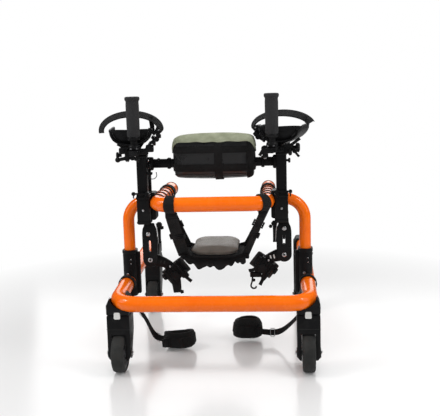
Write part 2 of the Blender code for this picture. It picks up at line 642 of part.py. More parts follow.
def make_ankle_strap(label, side):
    """A webbing tether hung from the base rail and the soft cuff that it ends in, on the floor."""
    stretch = [Vector((side * BASE_HALF_WIDTH, y, rail_height(y))) for y in ANKLE_LOOP_Y]
    top = top_of_strap(stretch, BASE_RADIUS)
    route = [top] + [Vector((side * x, y, z)) for x, y, z in ANKLE_ROUTE[label]]
    ribbon_shape = ribbon(ANKLE_WEB, WEB_THICKNESS)
    shape = sweep(bmesh.new(), flowing(route, 5), ribbon_shape, (Y, Z))
    strap = solid(f"ankle_tether_{label}", shape, WEBBING, top)
    combine(strap, solid(f"loop_of_tether_{label}", web_loop(stretch, BASE_RADIUS), GUIDE), "UNION")

    centre, heading, tilt = ANKLE_CUFF[label]
    wide, deep, wall = CUFF_WIDTH, CUFF_DEPTH, CUFF_WALL
    outer, inner = rounded(wide, deep, 0.027, 4), rounded(wide - 2 * wall, deep - 2 * wall, 0.019, 4)
    cuff = sweep(bmesh.new(), [-Z * CUFF_HEIGHT / 2, Z * CUFF_HEIGHT / 2], outer, X, inner)
    turned = Matrix.Rotation(math.radians(heading), 4, "Z") @ Matrix.Rotation(math.radians(tilt), 4, "X")
    bmesh.ops.transform(cuff, matrix=Matrix.Translation(centre) @ turned, verts=cuff.verts)
    solid(f"ankle_cuff_{label}", cuff, WEBBING, centre)


clear_scene()
ORANGE = paint("orange_enamel", (0.90, 0.22, 0.01), 0.22)
BLACK = paint("black_plastic", (0.018, 0.018, 0.020), 0.45)
GREY = paint("grey_plastic", (0.16, 0.16, 0.17), 0.50)
STEEL = paint("zinc_steel", (0.62, 0.62, 0.64), 0.35, 1.0)
RUBBER = paint("grey_rubber", (0.045, 0.047, 0.050), 0.70)
VINYL = paint("black_vinyl", (0.030, 0.031, 0.034), 0.40)
TAUPE = paint("taupe_fabric", (0.24, 0.21, 0.19), 0.85)
WEBBING = paint("black_webbing", (0.014, 0.014, 0.015), 0.90)
GUIDE = paint("guide", (0.8, 0.1, 0.8), 0.5)

root = bpy.data.objects.new("walker", None)
bpy.context.scene.collection.objects.link(root)
root.location = CENTRING

base_guide, top_guide = make_tubes()
for word, sign in SIDES:
    make_leg(word, sign, base_guide, top_guide)
    for place_name, swivel_y in (("front", FRONT_AXIS_Y), ("rear", REAR_AXIS_Y)):
        underside = make_socket(place_name, word, sign, swivel_y, base_guide)
        make_castor(place_name, word, sign, swivel_y, underside)
    make_brake(word, sign, underside)
    make_post_clamp(word, sign, top_guide)
    make_arm_post(word, sign)
    make_arm(word, sign)
    make_thigh_support(word, sign)
    make_ankle_strap(word, sign)
make_chest_support()
make_saddle()
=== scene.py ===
import math

import bmesh
import bpy
from mathutils import Matrix, Vector, noise
from mathutils.bvhtree import BVHTree


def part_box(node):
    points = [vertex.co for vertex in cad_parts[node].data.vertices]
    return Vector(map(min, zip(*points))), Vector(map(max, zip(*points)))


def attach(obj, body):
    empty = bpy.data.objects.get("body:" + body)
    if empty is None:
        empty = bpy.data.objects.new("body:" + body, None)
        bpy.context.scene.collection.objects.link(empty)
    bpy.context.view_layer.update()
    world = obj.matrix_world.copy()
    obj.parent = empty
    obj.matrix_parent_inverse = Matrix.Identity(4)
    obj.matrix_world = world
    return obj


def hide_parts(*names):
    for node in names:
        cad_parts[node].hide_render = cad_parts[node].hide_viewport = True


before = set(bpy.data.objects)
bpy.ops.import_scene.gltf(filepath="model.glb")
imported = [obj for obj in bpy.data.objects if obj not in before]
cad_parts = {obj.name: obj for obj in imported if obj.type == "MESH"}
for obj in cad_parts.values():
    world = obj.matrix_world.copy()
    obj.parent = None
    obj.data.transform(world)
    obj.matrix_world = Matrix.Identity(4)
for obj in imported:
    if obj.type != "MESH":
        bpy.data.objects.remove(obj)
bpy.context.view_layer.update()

CLOTH_FRAMES = 20
X, Y, Z = Vector((1, 0, 0)), Vector((0, 1, 0)), Vector((0, 0, 1))
SIDES = (("left", -1), ("right", 1))

# The CAD is drawn about the walker's middle plane; every point below is in that drawing space
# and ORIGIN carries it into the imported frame.
BASE_RADIUS, BAR_Y, BAR_Z = 0.02, -0.3, 0.182
_low, _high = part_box("base_frame")
ORIGIN = Vector(((_low.x + _high.x) / 2, _low.y + BASE_RADIUS - BAR_Y, 0))


# ---------------------------------------------------------------- shapes

def circle(radius, sides=40):
    return [(radius * math.cos(2 * math.pi * i / sides), radius * math.sin(2 * math.pi * i / sides))
            for i in range(sides)]


def arc(centre, radii, start, stop, steps):
    points = []
    for i in range(steps + 1):
        a = math.radians(start + (stop - start) * i / steps)
        points.append((centre[0] + radii[0] * math.cos(a), centre[1] + radii[1] * math.sin(a)))
    return points


def rounded(width, height, radius, steps=5):
    points = []
    for right, up, start in ((1, 1, 0), (-1, 1, 90), (-1, -1, 180), (1, -1, 270)):
        centre = (right * (width / 2 - radius), up * (height / 2 - radius))
        points += arc(centre, (radius, radius), start, start + 90, steps)
    return points


def strip(width, thickness):
    """A webbing's cross-section, its selvedges rounded."""
    w, t = width / 2, thickness / 2
    half = [(w, 0), (w - t, t), (w * 0.5, t), (0, t), (-w * 0.5, t), (-w + t, t)]
    return half + [(-u, -v) for u, v in half]


def bent(points, radius, steps=14):
    points = [Vector(p) for p in points]
    path = [points[0]]
    for before, corner, after in zip(points, points[1:], points[2:]):
        back, on = (before - corner).normalized(), (after - corner).normalized()
        half = back.angle(on) / 2
        reach = radius / math.tan(half)
        centre = corner + (back + on).normalized() * radius / math.sin(half)
        first = (corner + back * reach - centre).normalized()
        last = (corner + on * reach - centre).normalized()
        path += [centre + first.slerp(last, i / steps) * radius for i in range(steps + 1)]
    path.append(points[-1])
    return path


def flowing(points, steps=8):
    """A smooth curve through a few points."""
    points = [Vector(p) for p in points]
    ends = [points[0] * 2 - points[1], *points, points[-1] * 2 - points[-2]]
    path = []
    for a, b, c, d in zip(ends, ends[1:], ends[2:], ends[3:]):
        for i in range(steps):
            t = i / steps
            path.append(0.5 * ((2 * b) + (c - a) * t + (2 * a - 5 * b + 4 * c - d) * t ** 2
                               + (3 * b - a - 3 * c + d) * t ** 3))
    path.append(points[-1])
    return path


def loft(bm, loops, closed=False, along=None):
    """A closed shell through loops of points. UVs are in metres: round the loop, and along it."""
    uv = bm.loops.layers.uv.verify()
    rings = [[bm.verts.new(p) for p in loop] for loop in loops]
    count = len(loops[0])
    round_it = [0.0]
    for i in range(count):
        round_it.append(round_it[-1] + (loops[0][(i + 1) % count] - loops[0][i]).length)
    if along is None:
        along = [0.0]
        for a, b in zip(loops, loops[1:]):
            along.append(along[-1] + (b[0] - a[0]).length)
    pairs = [(k, k + 1) for k in range(len(rings) - 1)]
    if closed:
        pairs.append((len(rings) - 1, 0))
        along = along + [along[-1] + (loops[0][0] - loops[-1][0]).length]
    for k, m in pairs:
        for i in range(count):
            j = (i + 1) % count
            face = bm.faces.new((rings[k][i], rings[k][j], rings[m][j], rings[m][i]))
            for corner, (u, v) in zip(face.loops, ((i, k), (i + 1, k), (i + 1, k + 1), (i, k + 1))):
                corner[uv].uv = (round_it[u], along[v])
    if not closed:
        for ring in (rings[0], rings[-1]):
            face = bm.faces.new(ring)
            for corner in face.loops:
                corner[uv].uv = (corner.vert.co.x, corner.vert.co.y)
    return bm


def sweep(bm, path, outline, across, closed=False, grow=None):
    """Moves an outline along a path. across is the outline's first axis: one vector, or one a point."""
    last = len(path) - 1
    loops, along = [], [0.0]
    for i, point in enumerate(path):
        if closed:
            run = path[(i + 1) % (last + 1)] - path[i - 1]
        else:
            run = path[min(i + 1, last)] - path[max(i - 1, 0)]
        run.normalize()
        wide = across[i] if isinstance(across, list) else across
        wide = (wide - run * wide.dot(run)).normalized()
        thick = run.cross(wide)
        size = grow(i / last) if grow else 1.0
        loops.append([point + wide * u * size + thick * v * size for u, v in outline])
        if i:
            along.append(along[-1] + (point - path[i - 1]).length)
    return loft(bm, loops, closed, along)


def turn(bm, rows, centre, axis, sides=32, lobes=0, ring=False):
    """A solid of revolution from (radius, height) rows; a third item is "hex", or the depth of its lobes."""
    side = axis.cross(Y if abs(axis.dot(Z)) > 0.9 * axis.length else Z).normalized()
    other = axis.cross(side)
    loops = []
    for radius, height, *style in rows:
        loop = []
        for i in range(sides):
            angle = 2 * math.pi * (i + 0.5) / sides
            r = max(radius, 0.00002)
            if style and style[0] == "hex":
                r *= math.cos(math.pi / 6) / math.cos(angle % (math.pi / 3) - math.pi / 6)
            elif style:
                r *= 1 + style[0] * math.cos(lobes * angle)
            out = side * math.cos(angle) + other * math.sin(angle)
            loop.append(Vector(centre) + axis * height + out * r)
        loops.append(loop)
    return loft(bm, loops, ring)


def rod(bm, at, axis, radius, low, high, sides=24):
    return turn(bm, [(0, low), (radius, low), (radius, high), (0, high)], at, axis, sides)


def rivet(bm, at, axis, radius, edge=0.0012, height=0.0014, sides=16):
    return turn(bm, [(0, 0), (radius, 0), (radius - 0.0004, edge), (0, height)], at, axis, sides)


def extrude(bm, outline, low, high, right, up):
    along = right.cross(up)
    return loft(bm, [[right * u + up * v + along * h for u, v in outline] for h in (low, high)])


def block(bm, low, high, edge=0.002, steps=3):
    """A box with rounded edges."""
    low, high = Vector(low), Vector(high)
    place = Matrix.Translation((low + high) / 2) @ Matrix.Diagonal((*(high - low), 1))
    made = bmesh.ops.create_cube(bm, size=1, matrix=place)
    edges = {e for v in made["verts"] for e in v.link_edges}
    if edge:
        bmesh.ops.bevel(bm, geom=list(edges), offset=edge, segments=steps, profile=0.5, affect="EDGES")
    return bm


def span(side, low, high):
    return sorted((side * low, side * high))


def boxed(bm, side, xs, ys, zs, edge=0.002, steps=3):
    """A rounded block given by its distance from the middle plane on one side."""
    low, high = span(side, *xs)
    return block(bm, (low, ys[0], zs[0]), (high, ys[1], zs[1]), edge, steps)


def soften(bm, width, limit=35, steps=2):
    """Rounds every edge sharper than the limit."""
    bmesh.ops.recalc_face_normals(bm, faces=bm.faces)
    sharp = [e for e in bm.edges if len(e.link_faces) == 2 and e.calc_face_angle(0) > math.radians(limit)]
    bmesh.ops.bevel(bm, geom=sharp, offset=width, segments=steps, profile=0.5, affect="EDGES",
                    clamp_overlap=True)
    return bm


def join(*parts):
    """Several meshes as one."""
    for part in parts[1:]:
        mesh = bpy.data.meshes.new("joining")
        part.to_mesh(mesh)
        part.free()
        parts[0].from_mesh(mesh)
    return parts[0]


def carve(bm, *tools):
    """Cuts closed meshes out of a closed mesh."""
    things = []
    for source in (bm, *tools):
        bmesh.ops.recalc_face_normals(source, faces=source.faces)
        mesh = bpy.data.meshes.new("carving")
        source.to_mesh(mesh)
        source.free()
        thing = bpy.data.objects.new("carving", mesh)
        bpy.context.scene.collection.objects.link(thing)
        things.append(thing)
    for tool in things[1:]:
        step = things[0].modifiers.new("cut", "BOOLEAN")
        step.operation, step.solver, step.object = "DIFFERENCE", "EXACT", tool
    bpy.context.view_layer.update()
    cut = bpy.data.meshes.new_from_object(things[0].evaluated_get(bpy.context.evaluated_depsgraph_get()))
    made = bmesh.new()
    made.from_mesh(cut)
    for thing in things:
        bpy.data.objects.remove(thing)
    return made


def cut_off(bm, at, normal):
    """Removes what lies beyond a plane and closes the cut."""
    geom = [*bm.verts, *bm.edges, *bm.faces]
    bmesh.ops.bisect_plane(bm, geom=geom, plane_co=at, plane_no=normal, clear_outer=True)
    bmesh.ops.holes_fill(bm, edges=[e for e in bm.edges if e.is_boundary])
    return bm


def puff(bm, voxel=0.005, pressure=4.0, cap=0.008, stiffness=12.0):
    """Inflates a closed shape as a stuffed cover does: a short cloth run, its movement capped."""
    bmesh.ops.recalc_face_normals(bm, faces=bm.faces)
    mesh = bpy.data.meshes.new("cover")
    bm.to_mesh(mesh)
    bm.free()
    cover = bpy.data.objects.new("cover", mesh)
    bpy.context.scene.collection.objects.link(cover)

    def settled():
        graph = bpy.context.evaluated_depsgraph_get()
        return bpy.data.meshes.new_from_object(cover.evaluated_get(graph))

    remesh = cover.modifiers.new("remesh", "REMESH")
    remesh.mode, remesh.voxel_size = "VOXEL", voxel
    cover.data = settled()
    cover.modifiers.clear()
    start = [v.co.copy() for v in cover.data.vertices]
    cloth = cover.modifiers.new("cloth", "CLOTH")
    values = cloth.settings
    values.quality, values.mass = 5, 0.25
    values.tension_stiffness = values.compression_stiffness = stiffness
    values.shear_stiffness, values.bending_stiffness = 5.0, 0.6
    values.use_pressure, values.uniform_pressure_force = True, pressure
    values.effector_weights.gravity = 0.0
    cloth.point_cache.frame_start, cloth.point_cache.frame_end = 1, CLOTH_FRAMES
    for step in range(1, CLOTH_FRAMES + 1):
        bpy.context.scene.frame_set(step)
    shaped = settled()
    cover.modifiers.clear()
    bpy.context.scene.frame_set(1)
    for vertex, place in zip(shaped.vertices, start):
        moved = vertex.co - place
        vertex.co = place + moved * min(1.0, cap / max(moved.length, 1e-9))
    cover.data = shaped
    smooth = cover.modifiers.new("smooth", "SMOOTH")
    smooth.iterations, smooth.factor = 4, 0.5
    finer = cover.modifiers.new("finer", "SUBSURF")
    finer.levels = finer.render_levels = 1
    cover.data = settled()
    made = bmesh.new()
    made.from_mesh(cover.data)
    bpy.data.objects.remove(cover)
    return made


def tree_of(bm):
    return BVHTree.FromBMesh(bm)


def hit(tree, start, ahead, lift=0.0004):
    """Where a ray from inside a cushion leaves it, and the outward normal there."""
    place, normal, _, _ = tree.ray_cast(start, ahead)
    if place is None:
        return start, ahead.normalized()
    if normal.dot(ahead) < 0:
        normal = -normal
    return place + normal * lift, normal


def ring_on(tree, centre, steps, lift):
    """A level ring of points on a cushion."""
    turns = (2 * math.pi * i / steps for i in range(steps))
    return [hit(tree, centre, Vector((math.cos(a), math.sin(a), 0)), lift)[0] for a in turns]


def grid_of(rows, columns, spot):
    """Points and normals over a grid, from spot(i, j)."""
    pairs = [[spot(i, j) for j in range(columns)] for i in range(rows)]
    return [[p for p, _ in row] for row in pairs], [[n for _, n in row] for row in pairs]


def band_round(tree, centre, axis, first, width, thickness, offset=0.0, steps=72, columns=5):
    """Webbing laid round a cushion: a closed band in the plane across the axis."""
    axis, first = axis.normalized(), first.normalized()
    second = axis.cross(first)

    def spot(i, j):
        angle = 2 * math.pi * i / steps
        ahead = first * math.cos(angle) + second * math.sin(angle)
        return hit(tree, centre + axis * (offset + width * (j / (columns - 1) - 0.5)), ahead)

    return shell(bmesh.new(), *grid_of(steps, columns, spot), thickness, closed=True)


def shell(bm, grid, normals, thickness, closed=False):
    """A thin sheet over a grid of points, thick towards the normals."""
    uv = bm.loops.layers.uv.verify()
    rows, columns = len(grid), len(grid[0])
    under = [[bm.verts.new(p) for p in row] for row in grid]
    over = [[bm.verts.new(p + n * thickness) for p, n in zip(row, ns)] for row, ns in zip(grid, normals)]
    length, width = [0.0], [0.0]
    for a, b in zip(grid, grid[1:] + grid[:1]):
        length.append(length[-1] + (b[columns // 2] - a[columns // 2]).length)
    for a, b in zip(grid[0], grid[0][1:]):
        width.append(width[-1] + (b - a).length)

    def quad(corners, places):
        face = bm.faces.new(corners)
        for corner, (i, j) in zip(face.loops, places):
            corner[uv].uv = (width[j], length[i])

    for i in range(rows if closed else rows - 1):
        k = (i + 1) % rows
        for j in range(columns - 1):
            places = ((i, j), (i + 1, j), (i + 1, j + 1), (i, j + 1))
            for layer in (under, over):
                quad((layer[i][j], layer[k][j], layer[k][j + 1], layer[i][j + 1]), places)
        for j in (0, columns - 1):
            quad((under[i][j], under[k][j], over[k][j], over[i][j]), ((i, j), (i + 1, j), (i + 1, j), (i, j)))
    if not closed:
        for i in (0, rows - 1):
            for j in range(columns - 1):
                quad((under[i][j], under[i][j + 1], over[i][j + 1], over[i][j]),
                     ((i, j), (i, j + 1), (i, j + 1), (i, j)))
    return bm


def make(name, bm, material, body, replaces=(), place=None, sharp=40):
    """A bmesh drawn in drawing space becomes a piece that rides on a body."""
    bmesh.ops.recalc_face_normals(bm, faces=bm.faces)
    mesh = bpy.data.meshes.new(name)
    bm.to_mesh(mesh)
    bm.free()
    if place:
        mesh.transform(place)
    mesh.transform(Matrix.Translation(ORIGIN))
    mesh.materials.append(material)
    mesh.shade_smooth()
    mesh.set_sharp_from_angle(angle=math.radians(sharp))
    thing = bpy.data.objects.new(name, mesh)
    bpy.context.scene.collection.objects.link(thing)
    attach(thing, body)
    if replaces:
        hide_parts(*([replaces] if isinstance(replaces, str) else replaces))
    return thing


# ---------------------------------------------------------------- materials

class Paint:
    """A Principled material and the few node helpers its recipe needs."""

    def __init__(self, name, slot, colour, roughness, **values):
        self.material = bpy.data.materials.new(name)
        self.material["slot"] = slot
        self.material.use_nodes = True
        self.tree = self.material.node_tree
        self.shader = self.tree.nodes["Principled BSDF"]
        self.shader.inputs["Base Color"].default_value = (*colour, 1)
        self.shader.inputs["Roughness"].default_value = roughness
        for key, value in values.items():
            self.shader.inputs[key.replace("_", " ")].default_value = value
        self.material.diffuse_color = (*colour, 1)
        self.object_space = self.node("TexCoord").outputs["Object"]

    def node(self, kind, **settings):
        made = self.tree.nodes.new("ShaderNode" + kind)
        for key, value in settings.items():
            setattr(made, key, value)
        return made

    def link(self, target, source):
        if isinstance(source, bpy.types.NodeSocket):
            self.tree.links.new(source, target)
        else:
            target.default_value = source

    def noise(self, scale, detail=3.0, stretch=None):
        made = self.node("TexNoise")
        made.inputs["Scale"].default_value = scale
        made.inputs["Detail"].default_value = detail
        source = self.object_space
        if stretch:
            mapping = self.node("Mapping")
            mapping.inputs["Scale"].default_value = stretch
            self.link(mapping.inputs["Vector"], source)
            source = mapping.outputs["Vector"]
        self.link(made.inputs["Vector"], source)
        return made.outputs["Fac"]

    def cells(self, scale, feature="F1"):
        made = self.node("TexVoronoi", feature=feature)
        made.inputs["Scale"].default_value = scale
        self.link(made.inputs["Vector"], self.object_space)
        return made.outputs["Distance"]

    def math(self, operation, a, b=0.0):
        made = self.node("Math", operation=operation)
        self.link(made.inputs[0], a)
        self.link(made.inputs[1], b)
        return made.outputs[0]

    def spread(self, source, low, high, start=0.3, stop=0.7):
        """Maps the middle of a noise onto a range."""
        made = self.node("MapRange")
        for key, value in (("Value", source), ("From Min", start), ("From Max", stop),
                           ("To Min", low), ("To Max", high)):
            self.link(made.inputs[key], value)
        return made.outputs["Result"]

    def blend(self, factor, first, second):
        made = self.node("Mix", data_type="RGBA")
        self.link(made.inputs["Factor"], factor)
        sockets = [s for s in made.inputs if s.type == "RGBA"]
        for socket, value in zip(sockets, (first, second)):
            self.link(socket, value if isinstance(value, bpy.types.NodeSocket) else (*value, 1))
        return [s for s in made.outputs if s.type == "RGBA"][0]

    def colour(self, source):
        self.link(self.shader.inputs["Base Color"], source)

    def rough(self, source):
        self.link(self.shader.inputs["Roughness"], source)

    def bump(self, height, distance, strength=1.0):
        made = self.node("Bump")
        made.inputs["Distance"].default_value = distance
        made.inputs["Strength"].default_value = strength
        self.link(made.inputs["Height"], height)
        previous = self.shader.inputs["Normal"]
        if previous.is_linked:
            self.link(made.inputs["Normal"], previous.links[0].from_socket)
        self.link(previous, made.outputs["Normal"])


def wave(paint, source, period):
    """A sine of a coordinate, with its period in metres."""
    return paint.math("SINE", paint.math("MULTIPLY", source, 2 * math.pi / period))


def weave_of_uv(paint, warp, weft):
    """Rows of floats in a broken twill, from the UVs that a strap carries."""
    split = paint.node("SeparateXYZ")
    paint.link(split.inputs[0], paint.node("TexCoord").outputs["UV"])
    u, v = split.outputs[0], split.outputs[1]
    slant = paint.math("PINGPONG", u, 3 * warp)
    rows = wave(paint, paint.math("ADD", v, slant), weft)
    return paint.math("MULTIPLY", rows, wave(paint, u, warp))


def weave_of_space(paint, period):
    """A plain weave that reads on a surface facing any way."""
    split = paint.node("SeparateXYZ")
    paint.link(split.inputs[0], paint.object_space)
    x, y, z = (wave(paint, split.outputs[i], period) for i in range(3))
    pairs = [paint.math("MULTIPLY", a, b) for a, b in ((x, y), (y, z), (z, x))]
    return paint.math("ADD", paint.math("ADD", pairs[0], pairs[1]), pairs[2])


def enamel():
    p = Paint("orange_enamel_detailed", "orange_enamel", (0.92, 0.152, 0.0035), 0.3,
              Specular_IOR_Level=0.12, Coat_Weight=0.45, Coat_Roughness=0.04)
    tone = p.spread(p.noise(14, 4), 0.0, 1.0)
    body = p.blend(tone, (0.89, 0.14, 0.003), (0.95, 0.166, 0.004))
    scuff = p.spread(p.noise(260, 8, (1, 0.25, 1)), 0.0, 1.0, 0.7, 0.78)
    p.colour(p.blend(scuff, body, (0.8, 0.2, 0.04)))
    p.rough(p.spread(p.noise(60, 6), 0.2, 0.32))
    p.bump(p.noise(420, 2), 0.00003, 0.5)
    return p.material


def moulded(name, slot, colour, worn, rough, grain=1500):
    """Moulded plastic or powder coat: fine grain, rubbed patches and dust in the pores."""
    p = Paint(name, slot, colour, rough, Specular_IOR_Level=0.15)
    rubbed = p.spread(p.noise(30, 8), 0.0, 1.0, 0.52, 0.75)
    p.colour(p.blend(rubbed, colour, worn))
    p.rough(p.spread(p.noise(45, 5), rough - 0.07, rough + 0.1))
    p.bump(p.noise(grain, 3), 0.00012, 0.6)
    return p.material


def steel():
    p = Paint("zinc_steel_detailed", "zinc_steel", (0.66, 0.66, 0.68), 0.3, Metallic=1.0)
    p.colour(p.blend(p.spread(p.noise(90, 6), 0, 1), (0.56, 0.56, 0.57), (0.76, 0.76, 0.78)))
    p.rough(p.spread(p.noise(500, 4, (1, 1, 0.1)), 0.22, 0.42))
    p.bump(p.noise(900, 2), 0.00002, 0.5)
    return p.material


def rubber(name, slot, colour, dusty, grain, depth):
    p = Paint(name, slot, colour, 0.7, Specular_IOR_Level=0.3, Sheen_Weight=0.04)
    dust = p.spread(p.noise(22, 9), 0.0, 1.0, 0.45, 0.72)
    p.colour(p.blend(dust, colour, dusty))
    p.rough(p.spread(p.noise(70, 5), 0.62, 0.86))
    p.bump(p.noise(grain, 4), depth, 0.7)
    return p.material


def foam():
    p = Paint("foam_rubber_detailed", "foam_rubber", (0.02, 0.02, 0.021), 0.85,
              Specular_IOR_Level=0.2, Sheen_Weight=0.04)
    pores = p.spread(p.cells(1300), 0.0, 1.0, 0.05, 0.4)
    p.colour(p.blend(pores, (0.013, 0.013, 0.0135), (0.026, 0.026, 0.027)))
    p.rough(p.spread(p.noise(50, 4), 0.78, 0.92))
    p.bump(pores, 0.00025, 0.8)
    p.bump(p.noise(160, 3), 0.0003, 0.4)
    return p.material


def vinyl():
    p = Paint("black_vinyl_detailed", "black_vinyl", (0.012, 0.012, 0.013), 0.3, Specular_IOR_Level=0.6)
    grain = p.spread(p.cells(850, "DISTANCE_TO_EDGE"), 0.0, 1.0, 0.0, 0.18)
    p.colour(p.blend(grain, (0.005, 0.005, 0.0055), (0.0125, 0.0125, 0.0135)))
    p.rough(p.spread(p.noise(35, 6), 0.24, 0.42))
    p.bump(grain, 0.00012, 0.6)
    p.bump(p.noise(55, 4), 0.001, 0.35)
    return p.material


def cloth(name, slot, dark, light, period, depth, sheen=0.05, gloss=0.0):
    """Woven cover fabric with soft creases."""
    p = Paint(name, slot, light, 0.85,
              Specular_IOR_Level=0.2 + gloss, Sheen_Weight=sheen, Sheen_Roughness=0.5)
    threads = weave_of_space(p, period)
    shade = p.spread(threads, 0.0, 1.0, -1.4, 1.4)
    tone = p.blend(p.spread(p.noise(40, 6), 0, 1), dark, light)
    p.colour(p.blend(p.math("MULTIPLY", shade, 0.5), tone, dark))
    p.rough(p.spread(p.noise(80, 4), 0.76 - 0.8 * gloss, 0.94 - 0.8 * gloss))
    p.bump(threads, depth, 0.7)
    p.bump(p.noise(38, 5), 0.0022, 0.35)
    return p.material


def webbing():
    p = Paint("black_webbing_detailed", "black_webbing", (0.01, 0.01, 0.0105), 0.8,
              Specular_IOR_Level=0.2, Sheen_Weight=0.04)
    threads = weave_of_uv(p, 0.0011, 0.0017)
    shade = p.spread(threads, 0.0, 1.0, -1.0, 1.0)
    tone = p.blend(shade, (0.003, 0.003, 0.003), (0.01, 0.01, 0.0105))
    p.colour(p.blend(p.spread(p.noise(60, 6), 0.0, 0.5, 0.5, 0.8), tone, (0.015, 0.015, 0.015)))
    p.rough(p.spread(p.noise(120, 4), 0.68, 0.9))
    p.bump(threads, 0.00028, 0.8)
    return p.material


ORANGE = enamel()
BLACK = moulded("black_plastic_detailed", "black_plastic", (0.0055, 0.0055, 0.006),
                (0.011, 0.011, 0.0115), 0.42)
COAT = moulded("black_enamel_detailed", "black_enamel", (0.0045, 0.0045, 0.005),
               (0.009, 0.009, 0.0095), 0.3, 2400)
GREY = moulded("grey_plastic_detailed", "grey_plastic", (0.1, 0.1, 0.105), (0.17, 0.17, 0.17), 0.46)
STEEL = steel()
RUBBER = rubber("grey_rubber_detailed", "grey_rubber", (0.018, 0.0185, 0.018),
                (0.034, 0.034, 0.032), 700, 0.0002)
FOAM = foam()
VINYL = vinyl()
TAUPE = cloth("taupe_fabric_detailed", "taupe_fabric", (0.112, 0.101, 0.085), (0.19, 0.173, 0.148),
              0.0014, 0.00016, 0.05, 0.5)
OLIVE = cloth("olive_lining_detailed", "taupe_fabric", (0.19, 0.205, 0.132), (0.33, 0.345, 0.25),
              0.001, 0.00012)
SHADE = cloth("black_cloth_detailed", "black_webbing", (0.006, 0.006, 0.006), (0.017, 0.017, 0.018),
              0.0012, 0.0002)
FLEECE = cloth("black_fleece_detailed", "black_webbing", (0.004, 0.004, 0.004), (0.012, 0.012, 0.012),
               0.0022, 0.0006, 0.08)
WEB = webbing()
# PALE is the castor badge's own colour; on the right thigh arm's slot bars it is painted light.
PALE = moulded("pale_badge_and_painted_light_detailed", "grey_plastic", (0.62, 0.62, 0.6), (0.72, 0.72, 0.7), 0.5, 900)


# ---------------------------------------------------------------- small hardware

hardware = {}


def screw(body, at, axis, radius=0.0042, height=0.0024):
    """A button-head screw with a hexagon socket, collected with the others of its body."""
    rows = [(0, -0.0015), (radius, -0.0015), (radius, height * 0.35), (radius * 0.93, height * 0.65),
            (radius * 0.75, height * 0.92), (radius * 0.56, height), (radius * 0.5, height, "hex"),
            (radius * 0.5, height * 0.3, "hex"), (0, height * 0.3)]
    turn(hardware.setdefault(body, bmesh.new()), rows, at, axis.normalized(), 24)


def ring_bolt(bm, at, axis, radius=0.0065, height=0.004):
    """A hexagon nut on a washer."""
    rows = [(0, 0), (radius * 1.25, 0), (radius * 1.25, height * 0.25), (radius, height * 0.25, "hex"),
            (radius, height * 0.9, "hex"), (radius * 0.8, height), (0, height)]
    return turn(bm, rows, at, axis.normalized(), 24)


def knob(bm, at, axis, radius=0.011, length=0.014, neck=0.005):
    """A lobed clamping knob on a short neck."""
    rows = [(0, -0.002), (neck, -0.002), (neck, length * 0.35), (radius * 0.75, length * 0.42),
            (radius, length * 0.52, 0.1), (radius, length * 0.85, 0.1),
            (radius * 0.86, length * 0.97, 0.06), (radius * 0.45, length), (0, length * 0.96)]
    return turn(bm, rows, at, axis.normalized(), 40, lobes=5)


def lever(bm, at, axis, reach, width=0.008, thickness=0.006):
    """A cam lever: a round boss and a curved flat handle."""
    axis, reach = axis.normalized(), Vector(reach)
    boss = width * 0.75
    rows = [(0, -thickness), (boss, -thickness), (boss * 1.05, 0), (boss, thickness), (0, thickness)]
    turn(bm, rows, at, axis, 24)
    start = Vector(at)
    path = flowing([start, start + reach * 0.45 + axis * thickness * 0.5, start + reach], 6)
    sweep(bm, path, rounded(width, thickness, thickness * 0.42, 3), axis.cross(reach).normalized(),
          grow=lambda t: 1.0 - 0.25 * t + 0.2 * t ** 4)
    return bm


def fit(bm, parts):
    """Adds several shapes to one mesh: each is its function and what that takes."""
    for shape, *values in parts:
        shape(bm, *values)


# ---------------------------------------------------------------- camera, light and floor

CAMERA_AT = Vector((0.1682, -2.12, 0.7208))
CAMERA_YAW, CAMERA_PITCH, CAMERA_ROLL = -0.0772, 0.1552, -0.0275
FOCAL, FRAME_WIDTH, AXIS_RAISED = 759.9, 440, 4.9
FLOOR_HALF, FADE_START, FADE_STOP = 14.0, 0.35, 1.25
LIGHT_FOR_SHADING, LIGHT_FOR_GLOSS = 0.22, 0.08


def aim_camera():
    ahead = Vector((math.sin(CAMERA_YAW) * math.cos(CAMERA_PITCH),
                    math.cos(CAMERA_YAW) * math.cos(CAMERA_PITCH), -math.sin(CAMERA_PITCH)))
    right = Vector((math.cos(CAMERA_YAW), -math.sin(CAMERA_YAW), 0))
    up = right.cross(ahead)
    c, s = math.cos(CAMERA_ROLL), math.sin(CAMERA_ROLL)
    right, up = right * c + up * s, up * c - right * s
    data = bpy.data.cameras.new("camera")
    data.sensor_width = 36
    data.lens = FOCAL / FRAME_WIDTH * data.sensor_width
    data.shift_y = -AXIS_RAISED / FRAME_WIDTH
    data.clip_start, data.clip_end = 0.05, 60
    camera = bpy.data.objects.new("camera", data)
    bpy.context.scene.collection.objects.link(camera)
    turned = Matrix((right, up, -ahead)).transposed().to_4x4()
    camera.matrix_world = Matrix.Translation(CAMERA_AT + ORIGIN) @ turned
    bpy.context.scene.camera = camera


def softbox(name, at, target, size, power, glossy=True):
    data = bpy.data.lights.new(name, "AREA")
    data.shape, data.size, data.size_y = "RECTANGLE", *size
    data.energy = power
    light = bpy.data.objects.new(name, data)
    bpy.context.scene.collection.objects.link(light)
    light.location = at
    light.visible_glossy = glossy
    light.rotation_mode = "QUATERNION"
    light.rotation_quaternion = (Vector(target) - Vector(at)).to_track_quat("-Z", "Y")


